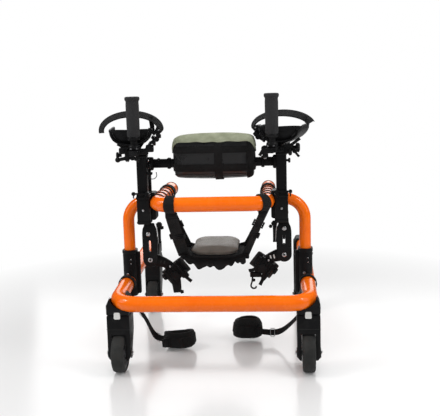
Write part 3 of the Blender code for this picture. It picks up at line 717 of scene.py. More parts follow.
def studio():
    paint = Paint("studio_floor", "", (0.7, 0.7, 0.7), 0.16, Specular_IOR_Level=0.5)
    far = paint.node("VectorMath", operation="LENGTH")
    paint.link(far.inputs[0], paint.object_space)
    seen = paint.node("LightPath").outputs["Is Camera Ray"]
    fade = paint.math("MULTIPLY", paint.spread(far.outputs["Value"], 0.0, 1.0, FADE_START, FADE_STOP), seen)
    glow = paint.node("Emission")
    choose = paint.node("MixShader")
    for target, source in ((choose.inputs[0], fade), (choose.inputs[1], paint.shader.outputs[0]),
                           (choose.inputs[2], glow.outputs[0])):
        paint.link(target, source)
    paint.link(paint.tree.nodes["Material Output"].inputs["Surface"], choose.outputs[0])
    mesh = bpy.data.meshes.new("floor")
    corners = [(u * FLOOR_HALF, v * FLOOR_HALF, 0) for u, v in ((-1, -1), (1, -1), (1, 1), (-1, 1))]
    mesh.from_pydata(corners, [], [(0, 1, 2, 3)])
    mesh.materials.append(paint.material)
    floor = bpy.data.objects.new("floor", mesh)
    bpy.context.scene.collection.objects.link(floor)
    softbox("light_top", (0, 0.3, 2.4), (0, 0, 0), (2.6, 2.6), 40, glossy=False)
    softbox("light_front", (0.3, -3.4, 1.9), (0, 0, 0.3), (3.0, 2.0), 54, glossy=False)
    softbox("light_glint_left", (-1.7, -0.75, 2.0), (-0.2, -0.2, 0.3), (0.6, 0.4), 13)
    softbox("light_glint_right", (1.7, -0.75, 2.0), (0.2, -0.2, 0.3), (0.6, 0.4), 13)
    softbox("light_left", (-2.4, -0.9, 1.5), (0, 0, 0.3), (1.2, 1.8), 13)
    softbox("light_right", (2.4, -0.8, 1.5), (0, 0, 0.3), (1.2, 1.8), 10)
    softbox("light_back", (0, 3.2, 1.6), (0, 0, 0.3), (3.4, 1.6), 34)
    world = bpy.data.worlds.new("studio")
    bpy.context.scene.world = world
    world.use_nodes = True
    nodes, links = world.node_tree.nodes, world.node_tree.links
    shading = nodes["Background"]
    gloss, seen = (nodes.new("ShaderNodeBackground") for _ in range(2))
    for node, strength in ((shading, LIGHT_FOR_SHADING), (gloss, LIGHT_FOR_GLOSS), (seen, 1.0)):
        node.inputs["Color"].default_value = (1, 1, 1, 1)
        node.inputs["Strength"].default_value = strength
    path = nodes.new("ShaderNodeLightPath")
    unseen, choose = (nodes.new("ShaderNodeMixShader") for _ in range(2))
    for mix, ray, first, second in ((unseen, "Is Glossy Ray", shading, gloss),
                                    (choose, "Is Camera Ray", unseen, seen)):
        links.new(path.outputs[ray], mix.inputs[0])
        links.new(first.outputs[0], mix.inputs[1])
        links.new(second.outputs[0], mix.inputs[2])
    links.new(choose.outputs[0], nodes["World Output"].inputs["Surface"])
    bpy.context.scene.view_settings.view_transform = "Standard"


aim_camera()
studio()

# ---------------------------------------------------------------- frame tubes

BASE_HALF, BASE_BEND, RAIL_END, RAIL_RISE = 0.244, 0.055, 0.285, 0.056
TOP_RADIUS, TOP_HALF, TOP_BEND, TOP_END = 0.019, 0.141, 0.042, 0.055
BEAM_Y, BEAM_Z = -0.245, 0.424
LEG_X, LEG_Y, SHOULDER_Z, UPRIGHT_RADIUS, UPRIGHT_LOW = 0.2395, -0.1, 0.402, 0.0155, 0.216
BAND_PLACES = (-0.192, -0.15, -0.108, -0.066, -0.004)


def rail_height(y):
    return BAR_Z + RAIL_RISE * (y - BAR_Y)


def u_path(half, front, end, radius, height):
    corners = [(-half, end, height(end)), (-half, front, height(front)),
               (half, front, height(front)), (half, end, height(end))]
    return bent(corners, radius)


def weld(bm, points, size=0.0022):
    """A bead laid round a joint."""
    wobble = [p + Vector(noise.noise_vector(p * 500)) * 0.0002 for p in points]
    return sweep(bm, wobble, circle(size, 8), [Z + X * 0.3] * len(points), closed=True)


def frame_tubes():
    base = u_path(BASE_HALF, BAR_Y, RAIL_END, BASE_BEND, rail_height)
    make("base_tube", sweep(bmesh.new(), base, circle(BASE_RADIUS), Z), ORANGE, "base", "base_frame")
    top = u_path(TOP_HALF, BEAM_Y, TOP_END, TOP_BEND, lambda y: BEAM_Z)
    make("upper_tube", sweep(bmesh.new(), top, circle(TOP_RADIUS), Z), ORANGE, "upper", "upper_frame")
    for word, side in SIDES:
        x = side * LEG_X
        route = bent([(x, LEG_Y, UPRIGHT_LOW), (x, LEG_Y, SHOULDER_Z),
                      (side * (TOP_HALF + 0.012), LEG_Y, BEAM_Z + 0.0005)], 0.055)
        bm = sweep(bmesh.new(), route, circle(UPRIGHT_RADIUS), Y)
        bead = []
        for i in range(36):
            a = 2 * math.pi * i / 36
            y, z = (UPRIGHT_RADIUS + 0.0006) * math.cos(a), (UPRIGHT_RADIUS + 0.0006) * math.sin(a)
            out = math.sqrt(max(TOP_RADIUS ** 2 - z * z, 0)) + 0.0004
            bead.append(Vector((side * (TOP_HALF + out), LEG_Y + y, BEAM_Z + z)))
        weld(bm, bead)
        make(f"upright_tube_{word}", bm, ORANGE, "upper", f"upright_{word}")
        bands = bmesh.new()
        for y in BAND_PLACES:
            half = [(-0.001, -0.0042), (0.001, -0.0042), (0.0018, -0.003)]
            rows = [(TOP_RADIUS + u, v) for u, v in half + [(u, -v) for u, v in reversed(half)]]
            turn(bands, rows, (side * TOP_HALF, y, BEAM_Z), Y, 40)
        make(f"rail_bands_{word}", bands, BLACK, "upper")
        rows = [(0, -0.004), (TOP_RADIUS + 0.0008, -0.004), (TOP_RADIUS + 0.0012, 0.0),
                (TOP_RADIUS + 0.0004, 0.004), (TOP_RADIUS * 0.7, 0.0062), (0, 0.0068)]
        plug = turn(bmesh.new(), rows, (side * TOP_HALF, TOP_END, BEAM_Z), Y, 40)
        make(f"rail_plug_{word}", plug, BLACK, "upper")


frame_tubes()

# ---------------------------------------------------------------- castors and legs

CASTOR_HALF = {"front": 0.029, "rear": 0.0245}
CASTOR_X, CASTOR_FRONT, CASTOR_BACK = 0.2395, -0.038, 0.026
CASTOR_AXIS = {"front": -0.262, "rear": 0.281}
TRAIL, WHEEL, WHEEL_ROOM = 0.022, 0.05, 0.054
SLEEVE = (0.152, 0.28)


def tube_room(half, front, end, radius, height, size):
    return sweep(bmesh.new(), u_path(half, front, end + 0.02, radius, height), circle(size, 36), Z)


def base_room():
    return tube_room(BASE_HALF, BAR_Y, RAIL_END, BASE_BEND, rail_height, BASE_RADIUS + 0.0003)


def top_room():
    return tube_room(TOP_HALF, BEAM_Y, TOP_END, TOP_BEND, lambda _: BEAM_Z, TOP_RADIUS + 0.0004)


def socket(name, x, side, axis, seat):
    """The casting that joins a rail and a castor; its outer shoulder leans in beside the rail."""
    half = CASTOR_HALF["front" if axis < 0 else "rear"]
    outline = [(half, seat), (half, seat + 0.025), (0.0165, seat + 0.052), (-0.016, seat + 0.05),
               (-half, seat + 0.034), (-half, seat)]
    outline = [(x + side * u, v) for u, v in outline]
    bm = extrude(bmesh.new(), outline, -axis - CASTOR_BACK, -axis - CASTOR_FRONT, X, Z)
    bm = carve(soften(bm, 0.0035, 30, 3), base_room())
    if axis < 0:
        for shift in ((0, -0.012, 0.004), (0, -0.024, 0.01), (0, -0.01, 0.022), (0, -0.026, 0.026)):
            room = base_room()
            bmesh.ops.translate(room, verts=room.verts, vec=shift)
            bm = carve(bm, room)
    make(f"castor_socket_body_{name}", bm, BLACK, "base", f"castor_socket_{name}")
    for y in (-0.022, 0.01):
        screw("base", Vector((x + side * (half - 0.0002), axis + y, seat + 0.013)), X * side, 0.0042, 0.002)


def fork(name, x, axis, top):
    """A tall smooth housing whose two legs end round the axle."""
    half = CASTOR_HALF["front" if axis < 0 else "rear"]
    end = arc((-TRAIL, WHEEL), (0.018, 0.021), 180, 360, 14)
    outline = [(CASTOR_FRONT, top), (CASTOR_FRONT, 0.1), *end, (CASTOR_BACK, 0.1), (CASTOR_BACK, top)]
    bm = extrude(bmesh.new(), [(axis + u, v) for u, v in outline], x - half, x + half, Y, Z)
    soften(bm, 0.0045, 50, 3)
    for way in (-1, 1):
        cut_off(bm, Vector((x + way * 0.02, axis, 0.0285)), Vector((way * 0.85, 0, -0.53)))
    at = Vector((x, axis - TRAIL, WHEEL))
    bm = carve(bm, rod(bmesh.new(), at, X, WHEEL_ROOM, -0.01775, 0.01775, 56))
    if axis > 0:
        low, high = (x - 0.0175, axis + 0.016, 0.05), (x + 0.0175, axis + 0.05, top - 0.034)
        bm = carve(bm, block(bmesh.new(), low, high, 0))
    parts = [bm]
    for way in (-1, 1):
        boss = [(0, 0), (0.0135, 0), (0.0128, 0.0016), (0, 0.0016)]
        parts.append(turn(bmesh.new(), boss, at + X * way * (half - 0.0004), X * way, 36))
    ring = [(0.004, 0.0), (0.0155, 0.0), (0.0155, 0.0006), (0.004, 0.0006)]
    parts.append(turn(bmesh.new(), ring, (x, axis, top - 0.0001), Z, 40))
    make(f"castor_fork_{name}", join(*parts), BLACK, f"castor_{name}", f"fork_{name}", sharp=30)
    face = axis + CASTOR_FRONT
    low, high = (x - half - 0.0002, face - 0.0003, 0.115), (x + half + 0.0002, face + 0.02, 0.1158)
    seam = block(bmesh.new(), low, high, 0)
    make(f"castor_seam_{name}", seam, RUBBER, f"castor_{name}")
    if axis < 0:
        plate = [(x - 0.001 + u * (1 - 12 * max(0.0, v)), 0.1515 + v)
                 for u, v in rounded(0.0165, 0.0175, 0.0034)]
        badge = extrude(bmesh.new(), plate, -face - 0.0004, -face + 0.0007, X, Z)
        make(f"castor_badge_{name}", badge, PALE, f"castor_{name}")
    return at


def wheel(name, at):
    half = [(0.0382, 0.0138), (0.0392, 0.0152), (0.044, 0.0158), (0.0472, 0.0142), (0.049, 0.0108),
            (0.0498, 0.006), (0.0498, 0.0048), (0.05, 0.004)]
    rows = half + [(r, -v) for r, v in reversed(half)]
    make(f"tyre_tread_{name}", turn(bmesh.new(), rows, at, X, 96, ring=True), RUBBER, f"wheel_{name}",
         f"tyre_{name}")
    rim = [(0.0383, -0.0136), (0.0383, 0.0136), (0.0352, 0.0126), (0.034, 0.005), (0.034, -0.005),
           (0.0352, -0.0126)]
    bm = turn(bmesh.new(), rim, at, X, 72, ring=True)
    rod(bm, at, X, 0.0345, -0.0022, 0.0022, 48)
    turn(bm, [(0.0045, -0.0165), (0.0098, -0.0165), (0.0112, -0.0145), (0.0125, 0.0), (0.0112, 0.0145),
              (0.0098, 0.0165), (0.0045, 0.0165)], at, X, 40, ring=True)
    for i in range(6):
        a = math.pi * i / 3
        out = Y * math.cos(a) + Z * math.sin(a)
        path = [at + out * r for r in (0.0095, 0.016, 0.024, 0.0355)]
        sweep(bm, path, rounded(0.018, 0.0062, 0.0026, 4), X,
              grow=lambda t: 1.0 - 0.22 * math.sin(math.pi * t))
    make(f"wheel_hub_{name}", bm, GREY, f"wheel_{name}", f"hub_{name}")
    bm = rod(bmesh.new(), at, X, 0.0038, -0.03, 0.03)
    for way in (-1, 1):
        ring_bolt(bm, at + X * way * (CASTOR_HALF[name.split("_")[0]] + 0.0012), X * way, 0.0052, 0.0032)
    make(f"axle_bolt_{name}", bm, STEEL, f"castor_{name}", f"axle_{name}")


def brake(word, side, seat):
    """A foot pedal behind the rear fork, ribbed where the foot presses."""
    at = Vector((side * CASTOR_X, CASTOR_AXIS["rear"] + 0.0365, seat - 0.02))
    outline = [(-0.0055, -0.004), (-0.0055, 0.004), (0.0, 0.006), (0.01, 0.005), (0.04, -0.0045),
               (0.04, -0.0088), (0.01, -0.0035), (0.004, -0.01), (0.001, -0.056), (-0.0065, -0.088),
               (-0.0122, -0.0845), (-0.0065, -0.056)]
    outline = [(at.y + u, at.z + v) for u, v in outline]
    bm = soften(extrude(bmesh.new(), outline, at.x - 0.0165, at.x + 0.0165, Y, Z), 0.0012, 30, 2)
    slope = Vector((0, 0.03, -0.0095)).normalized()
    for i in range(6):
        foot = at + Vector((0, 0.012, 0.0046)) + slope * (0.0045 * i)
        sweep(bm, [foot - X * 0.0135, foot + X * 0.0135], circle(0.0009, 10), slope)
    make(f"brake_foot_pedal_{word}", bm, BLACK, f"brake_{word}", f"brake_pedal_{word}")
    lugs = bmesh.new()
    for way in (-1, 1):
        x = at.x + way * 0.0205
        lug = [(-0.012, -0.009), (-0.012, 0.009), *arc((0, 0), (0.0065, 0.0065), 90, -90, 8)]
        extrude(lugs, [(at.y + u, at.z + v) for u, v in lug], x - 0.0022, x + 0.0022, Y, Z)
    make(f"brake_lugs_{word}", lugs, BLACK, f"castor_rear_{word}")
    pin = rod(bmesh.new(), at, X, 0.0026, -0.024, 0.024, 20)
    for way in (-1, 1):
        rivet(pin, at + X * way * 0.0228, X * way, 0.0044, 0.0018, 0.0022, 20)
    make(f"brake_pin_{word}", pin, STEEL, f"castor_rear_{word}")


def castors():
    for where, axis in CASTOR_AXIS.items():
        seat = rail_height(axis) - BASE_RADIUS - 0.012
        for word, side in SIDES:
            name, x = f"{where}_{word}", side * CASTOR_X
            socket(name, x, side, axis, seat)
            wheel(name, fork(name, x, axis, seat - 0.0006))
            if where == "rear":
                brake(word, side, seat)


def sleeves():
    """The black telescopic legs: a rounded body with an inner flange and an open collar."""
    low, high = SLEEVE
    for word, side in SIDES:
        x = side * LEG_X

        def ring(width, depth, radius, bottom, top, edge):
            outline = [(x + u, LEG_Y + v) for u, v in rounded(width, depth, radius, 9)]
            return soften(extrude(bmesh.new(), outline, bottom, top, X, Y), edge, 50, 3)

        def bore(radius, bottom, top):
            return rod(bmesh.new(), (x, LEG_Y, 0), Z, radius, bottom, top, 48)

        body = carve(ring(0.0375, 0.0495, 0.0184, low, high - 0.004, 0.002),
                     bore(0.017, 0.214, 0.3), base_room())
        collar = carve(ring(0.04, 0.052, 0.0196, high - 0.0095, high, 0.0016), bore(0.0172, 0.2, 0.3))
        flange = boxed(bmesh.new(), side, (LEG_X - 0.0275, LEG_X - 0.01), (LEG_Y - 0.0065, LEG_Y + 0.0065),
                       (low + 0.004, high - 0.007), 0.003)
        flange = carve(flange, base_room(), bore(0.017, 0.1, 0.4))
        parts = join(body, collar, flange)
        make(f"leg_sleeve_{word}", parts, BLACK, "base", f"sleeve_{word}", sharp=32)
        gasket = turn(bmesh.new(), [(0.0156, high - 0.012), (0.0171, high - 0.012), (0.0171, high - 0.003),
                                    (0.0156, high - 0.003)], (x, LEG_Y, 0), Z, 48, ring=True)
        make(f"leg_gasket_{word}", gasket, RUBBER, "base")
        front = LEG_Y - 0.0247
        for dx, z, size in ((0.006, 0.256, 0.0018), (0.006, 0.244, 0.0016), (-0.004, 0.215, 0.0034)):
            screw("base", Vector((x + dx, front + abs(dx) * 0.12, z)), -Y, size, 0.0012)
        for z in (0.168, 0.262):
            screw("base", Vector((x + side * 0.0186, LEG_Y, z)), X * side, 0.004, 0.002)


castors()
sleeves()

# ---------------------------------------------------------------- post clamps, posts and chest support

POST = Vector((0.178, -0.2, 0))
POST_SIZE, POST_Z = 0.026, (0.374, 0.548)
CLAMP_Z = (0.368, 0.448)
CHEST_Y = -0.152


def post_clamps():
    for word, side in SIDES:
        x, y, room = side * POST.x, POST.y, POST_SIZE / 2 + 0.0005

        def post_room():
            return block(bmesh.new(), (x - room, y - room, 0.35), (x + room, y + room, 0.46), 0)

        front = boxed(bmesh.new(), side, (0.1605, 0.1935), (-0.218, -0.184), (0.3684, 0.4476), 0.0035, 3)
        rear = boxed(bmesh.new(), side, (0.15, 0.1925), (-0.1845, -0.1365), (0.374, 0.447), 0.006, 4)
        parts = []
        for part in (front, rear):
            chest = boxed(bmesh.new(), side, (0.1635, 0.1805), (CHEST_Y - 0.0056, CHEST_Y + 0.0056),
                          (0.35, 0.46), 0)
            parts.append(carve(part, post_room(), chest, top_room()))
        bm = join(*parts)
        for z in (0.3745, 0.4385):
            collar = boxed(bmesh.new(), side, (0.159, 0.1945), (-0.2195, -0.186), (z - 0.0032, z + 0.0032),
                           0.0018, 2)
            bm = join(bm, carve(collar, post_room(), top_room()))
        make(f"post_clamp_body_{word}", bm, BLACK, "upper", f"post_clamp_{word}", sharp=32)
        for z in (0.386, 0.408, 0.43):
            screw("upper", Vector((side * 0.1924, -0.158, z)), X * side, 0.0044, 0.0026)
        screw("upper", Vector((side * 0.177, -0.2178, 0.406)), -Y, 0.003, 0.0016)
        bar = Vector((side * 0.16, -0.2225, 0.45))
        bm = sweep(bmesh.new(), [bar, bar + X * side * 0.038], circle(0.0026, 16), Z)
        turn(bm, [(0, -0.002), (0.0048, -0.002), (0.0052, 0.003), (0.003, 0.006), (0, 0.006)],
             bar + X * side * 0.038, X * side, 20)
        lever(bm, bar + X * side * 0.004, -Y, Vector((side * 0.005, -0.004, -0.014)), 0.007, 0.004)
        sweep(bm, flowing([bar + X * side * 0.036, bar + Vector((side * 0.04, 0, -0.008)),
                           bar + Vector((side * 0.038, 0, -0.012))], 5), circle(0.0016, 12), Y)
        make(f"clamp_handle_{word}", bm, COAT, "upper")


def arm_posts():
    for word, side in SIDES:
        x, y = side * POST.x, POST.y
        low, high = POST_Z
        outline = [(x + u, y + v) for u, v in rounded(POST_SIZE, POST_SIZE, 0.0034, 5)]
        bm = extrude(bmesh.new(), outline, low, high - 0.003, X, Y)
        cap = [(x + u, y + v) for u, v in rounded(POST_SIZE + 0.003, POST_SIZE + 0.003, 0.0044, 5)]
        cap = soften(extrude(bmesh.new(), cap, high - 0.0065, high, X, Y), 0.0012, 50, 2)
        bm = join(bm, carve(cap, rod(bmesh.new(), (x, y, 0), Z, 0.0105, 0.5, 0.6, 40)))
        groove = bmesh.new()
        for i in range(7):
            at = Vector((x + side * (POST_SIZE / 2 - 0.0002), y, 0.47 + 0.01 * i))
            rod(groove, at, X * side, 0.0024, 0, 0.0004, 20)
        make(f"post_holes_{word}", groove, RUBBER, f"post_{word}")
        make(f"arm_post_tube_{word}", bm, COAT, f"post_{word}", f"arm_post_{word}", sharp=32)
        knobs = bmesh.new()
        for z in ((0.518,) if side < 0 else (0.527,)):
            knob(knobs, (x + POST_SIZE / 2, y - 0.004, z), X, 0.0058, 0.01, 0.003)
        if side < 0:
            block(knobs, (x + 0.012, y - 0.008, 0.496), (x + 0.026, y + 0.004, 0.503), 0.0018, 2)
            block(knobs, (x + 0.016, y - 0.006, 0.484), (x + 0.021, y + 0.002, 0.497), 0.0014, 2)
            wire = [(x + u, y - 0.002, v)
                    for u, v in ((0.036, 0.503), (0.037, 0.493), (0.031, 0.486), (0.022, 0.485))]
            sweep(knobs, flowing(wire, 8), circle(0.001, 10), Y)
        make(f"post_knobs_{word}", knobs, BLACK, f"post_{word}")


def chest_arch():
    bm = block(bmesh.new(), (-0.178, CHEST_Y - 0.005, 0.5084), (0.178, CHEST_Y + 0.005, 0.5316), 0.0022)
    for _, side in SIDES:
        boxed(bm, side, (0.164, 0.18), (CHEST_Y - 0.005, CHEST_Y + 0.005), (0.3762, 0.525), 0.002, 3)
        boxed(bm, side, (0.156, 0.1835), (CHEST_Y - 0.0082, CHEST_Y + 0.0082), (0.502, 0.537), 0.004, 4)
        boxed(bm, side, (0.11 if side < 0 else 0.126, 0.119 if side < 0 else 0.135),
              (CHEST_Y - 0.0075, CHEST_Y + 0.0075), (0.5055, 0.5345), 0.0024, 3)
        for dz in (-0.009, 0.009):
            screw("chest", Vector((side * 0.17, CHEST_Y - 0.008, 0.5195 + dz)), -Y, 0.0034, 0.0018)
        screw("chest", Vector((side * 0.142, CHEST_Y, 0.5314)), Z, 0.0036, 0.0026)
        for i in range(8):
            at = Vector((side * 0.172, CHEST_Y - 0.0049, 0.456 + 0.005 * i))
            rod(bm, at, -Y, 0.0012, 0, 0.0002, 12)
    make("chest_arch", bm, COAT, "chest", "chest_support_frame", sharp=32)


PAD, PAD_HALF = Vector((0.005, -0.152, 0.5355)), Vector((0.1085, 0.0425, 0.0575))


def chest_pad():
    """A boxy cushion with an olive lining folded over its top and three webbing bands."""
    half = PAD_HALF - Vector((0.006, 0.0055, 0.0055))
    cover = puff(block(bmesh.new(), PAD - half, PAD + half, 0.0105, 4), 0.0052, 4.0, 0.006)
    tree = tree_of(cover)
    pad = make("chest_pad_cover", cover, VINYL, "chest", "chest_pad", sharp=60)
    bands = band_round(tree, PAD, Z, -Y, 0.017, 0.0022, 0.021, 96)
    bands = join(bands, band_round(tree, PAD, Z, -Y, 0.018, 0.0022, -0.025, 96))
    make("chest_pad_bands", bands, WEB, "chest", sharp=50)
    upright = band_round(tree, PAD + X * 0.013, X, -Y, 0.021, 0.0026, 0.0, 80)
    upright = join(upright, band_round(tree, PAD + X * 0.092, X, -Y, 0.014, 0.0026, 0.0, 80))
    make("chest_pad_uprights", upright, WEB, "chest", sharp=50)

    def spot(i, j):
        t = 2 * i / 48 - 1
        start = 46.5 + 0.9 * math.sin(i * 0.6) - 5 * max(0.0, abs(t) - 0.86) / 0.14
        angle = math.radians(start + (128 - start) * j / 21)
        ahead = Vector((t * abs(t) ** 3 * 0.35, -math.cos(angle), math.sin(angle)))
        return hit(tree, PAD + X * t * 0.094, ahead, 0.0029)

    lining = shell(bmesh.new(), *grid_of(49, 22, spot), 0.0012)
    make("chest_pad_lining", lining, OLIVE, "chest", sharp=60)
    pipe = bmesh.new()
    for z in (-0.043, 0.04):
        sweep(pipe, ring_on(tree, PAD + Z * z, 110, 0.0002), circle(0.0014, 8), Z, closed=True)
    make("chest_pad_seams", pipe, VINYL, "chest")


post_clamps()
arm_posts()
chest_arch()
chest_pad()


# ---------------------------------------------------------------- arm supports

ARM_YAW = {"left": math.radians(8), "right": math.radians(-11)}
RAIL_X, RAIL_Y, RAIL_Z = -0.017, (-0.07, 0.165), (0.5505, 0.5625)
TROUGH_Y, TROUGH_RADII, TROUGH_Z, TROUGH_SHIFT = (0.005, 0.165), (0.056, 0.042), 0.608, 0.01
STRAP_LEAN = math.radians(26)
ARCH = {"left": (0.077, 0.042, -7), "right": (0.077, 0.0355, 15)}


def on_arm(word, place, part="arm"):
    """A maker for the pieces of one arm or grip, drawn about the foot of its post."""
    def put(name, bm, material, replaces=None, sharp=40):
        node = f"{replaces}_{word}" if replaces else ()
        return make(f"{name}_{word}", bm, material, f"{part}_{word}", node, place, sharp)

    return put


def arm_rail(side, put):
    low, high = RAIL_Z
    bm = block(bmesh.new(), (RAIL_X - 0.011, RAIL_Y[0], low), (RAIL_X + 0.011, RAIL_Y[1], high), 0.0022)
    slots = bmesh.new()
    for way in (-1, 1):
        block(slots, (RAIL_X + way * 0.011 - 0.0012, -0.055, low + 0.0042),
              (RAIL_X + way * 0.011 + 0.0012, 0.15, high - 0.0042), 0)
    bm = carve(bm, slots)
    rows = [(0, -0.016), (0.0094, -0.016), (0.0094, 0.0006), (0.0172, 0.0006), (0.0176, 0.0018),
            (0.0176, 0.006), (0.015, 0.0075), (0.015, 0.0125), (0, 0.0125)]
    turn(bm, rows, (0, 0, POST_Z[1]), Z, 40)
    put("arm_rail_bar", bm, COAT, "arm_rail")
    caps = bmesh.new()
    for y in RAIL_Y:
        block(caps, (RAIL_X - 0.0108, y - 0.002, low + 0.0002), (RAIL_X + 0.0108, y + 0.002, high - 0.0002),
              0.0012, 2)
    put("arm_rail_caps", caps, BLACK)
    bits = bmesh.new()
    for x, y, z, edge in (
            ((-0.0145, 0.0145), (0.018, 0.046), (low - 0.004, high + 0.0036), 0.0024),
            ((-0.013, 0.013), (0.108, 0.132), (high - 0.002, high + 0.004), 0.002),
            ((-0.015, 0.015), (-0.046, -0.014), (low - 0.0008, high + 0.0002), 0.0028),
            ((-0.024, -0.012), (-0.04, -0.018), (low - 0.014, high - 0.001), 0.003)):
        block(bits, (RAIL_X + x[0], y[0], z[0]), (RAIL_X + x[1], y[1], z[1]), edge)
    put("arm_brackets", bits, BLACK)
    levers, out = bmesh.new(), X * side
    if side < 0:
        at = Vector((RAIL_X - 0.018, -0.034, 0.544))
        fit(levers, (
            (lever, at, -Y, (-0.022, 0.002, -0.004), 0.01, 0.0065),
            (turn, [(0, -0.007), (0.005, -0.005), (0.007, 0), (0.005, 0.005), (0, 0.007)],
             at + Vector((-0.024, 0.002, -0.0045)), X, 24),
            (lever, (RAIL_X - 0.004, -0.052, 0.546), -Y, (0.016, 0.0, -0.008), 0.009, 0.006),
            (knob, (RAIL_X + 0.013, -0.03, 0.558), X, 0.0075, 0.013, 0.0035),
            (lever, (RAIL_X - 0.026, 0.012, 0.566), -Y, (-0.018, 0, 0.01), 0.008, 0.005),
            (block, (RAIL_X - 0.038, -0.04, 0.554), (RAIL_X - 0.014, -0.016, 0.57), 0.0034),
            (knob, (RAIL_X - 0.034, -0.026, 0.55), -X, 0.008, 0.012, 0.004),
            (knob, (RAIL_X - 0.03, -0.038, 0.564), -Y, 0.0062, 0.01, 0.003),
            (block, (RAIL_X + 0.01, -0.036, 0.55), (RAIL_X + 0.032, -0.01, 0.565), 0.0032),
            (lever, (RAIL_X + 0.03, -0.034, 0.56), -Y, (0.01, 0, 0.018), 0.008, 0.005),
            (block, (0.012, -0.03, 0.556), (0.032, -0.008, 0.574), 0.003),
            (knob, (0.026, -0.028, 0.579), X, 0.0062, 0.012, 0.003),
            (knob, (0.018, -0.03, 0.566), -Y, 0.0072, 0.01, 0.003)))
    else:
        fit(levers, (
            (lever, (0.022, -0.006, 0.562), -Y, (0.026, 0.004, 0.02), 0.009, 0.0055),
            (lever, (0.02, 0.008, 0.556), -Y, (0.024, 0.004, -0.006), 0.01, 0.006),
            (lever, (0.034, 0.002, 0.55), -Y, (0.01, 0.004, -0.014), 0.007, 0.005),
            (knob, (0.016, -0.016, 0.548), X, 0.007, 0.014, 0.0035),
            (block, (0.004, -0.01, 0.55), (0.024, 0.014, 0.566), 0.003),
            (knob, (RAIL_X - 0.012, -0.034, 0.582), -X, 0.0065, 0.011, 0.003),
            (lever, (RAIL_X - 0.02, -0.03, 0.56), -Y, (-0.012, 0.0, -0.018), 0.009, 0.006)))
    put("arm_levers", levers, BLACK)
    shape = bmesh.new()
    start, length = RAIL_X + side * 0.011, 0.02 + side * 0.017
    rod(shape, (start, 0.032, 0.5565), out, 0.0038, -0.002, length, 20)
    tip = start + side * (length - 0.006 if side > 0 else 0.0)
    knob(shape, (tip, 0.032, 0.5565), out, 0.0112, 0.017, 0.005)
    put("arm_clamp_knob", shape, BLACK, "arm_knob")
    screws = bmesh.new()
    for y in (0.025, 0.039, 0.114, 0.126):
        for way in (-1, 1):
            ring_bolt(screws, (RAIL_X + way * 0.008, y, high + 0.003), Z, 0.0026, 0.002)
    ring_bolt(screws, (RAIL_X - 0.018, -0.03, low - 0.0138), -Z, 0.0042, 0.003)
    put("arm_bolts", screws, STEEL)


def trough(side, put):
    """A moulded scoop with a rolled rim, and the padded liner that lies in it."""
    x, z = RAIL_X + side * TROUGH_SHIFT, TROUGH_Z
    start, stop = TROUGH_Y

    def wall(i, j):
        t, a = i / 24, math.radians(176 + 188 * j / 28)
        flare = 1.0 - 0.13 * max(0.0, 1 - t / 0.22) ** 2 - 0.05 * max(0.0, (t - 0.85) / 0.15) ** 2
        droop = 0.01 * max(0.0, 1 - t / 0.3) ** 2
        out = Vector((math.cos(a), 0, math.sin(a)))
        return Vector((x + (TROUGH_RADII[0] - 0.003) * flare * out.x, start + (stop - start) * t,
                       z - droop * max(0.0, 1 + out.z) + (TROUGH_RADII[1] - 0.003) * flare * out.z)), out

    grid, normals = grid_of(25, 29, wall)
    bm = shell(bmesh.new(), grid, normals, 0.003)
    lips = [[p + n * 0.0015 for p, n in zip(row, outs)] for row, outs in zip(grid, normals)]
    for path in ([row[0] for row in lips], [row[-1] for row in lips], lips[0], lips[-1]):
        sweep(bm, path, circle(0.0026, 12), Z + X * 0.2)
    rib = [(RAIL_X + u, v) for u, v in ((-0.0125, 0.5632), (0.0125, 0.5632), (0.02, 0.5705), (-0.02, 0.5705))]
    extrude(bm, rib, -0.15, -0.05, X, Z)
    cradle = [(RAIL_X - 0.015, 0.5632), (RAIL_X + 0.015, 0.5632), (x + 0.041, 0.585), (x + 0.046, 0.599),
              (x - 0.046, 0.599), (x - 0.041, 0.585)]
    bm = join(bm, soften(extrude(bmesh.new(), cradle, -0.05, -0.012, X, Z), 0.003, 30, 3))

    def bowl(i, j):
        pitch, a = math.radians(90 * i / 14), math.radians(176 + 188 * j / 32)
        size = math.cos(pitch) ** 0.7
        out = Vector((math.cos(a) * size, -math.sin(pitch), math.sin(a) * size))
        lip = 0.004 * math.sin(pitch)
        place = Vector((x + 0.052 * out.x, 0.023 + 0.0165 * out.y, z + lip + 0.037 * out.z))
        return place, out.normalized()

    shell(bm, *grid_of(15, 33, bowl), 0.003)
    put("trough_shell", bm, BLACK, "arm_trough")
    loops = []
    for i in range(13):
        t = i / 12
        shrink = 1.0 - 0.1 * max(0.0, 1 - t / 0.25) ** 2
        y = start + 0.004 + (stop - start - 0.008) * t
        outer = arc((x, z), (0.052 * shrink, 0.038 * shrink), 180, 360, 18)
        inner = arc((x, z), (0.044 * shrink, 0.03 * shrink), 360, 180, 18)
        loops.append([Vector((u, y, v)) for u, v in outer + inner])
    liner = puff(loft(bmesh.new(), loops), 0.0045, 3.0, 0.003)
    pad = put("trough_liner", liner, VINYL, sharp=60)
    seams = bmesh.new()
    for dy in (0.052, 0.108):
        path = [Vector((x + 0.0425 * math.cos(a), start + dy, z + 0.0285 * math.sin(a)))
                for a in (math.radians(186 + 168 * k / 30) for k in range(31))]
        sweep(seams, path, circle(0.001, 8), Y)
    put("trough_seams", seams, VINYL)


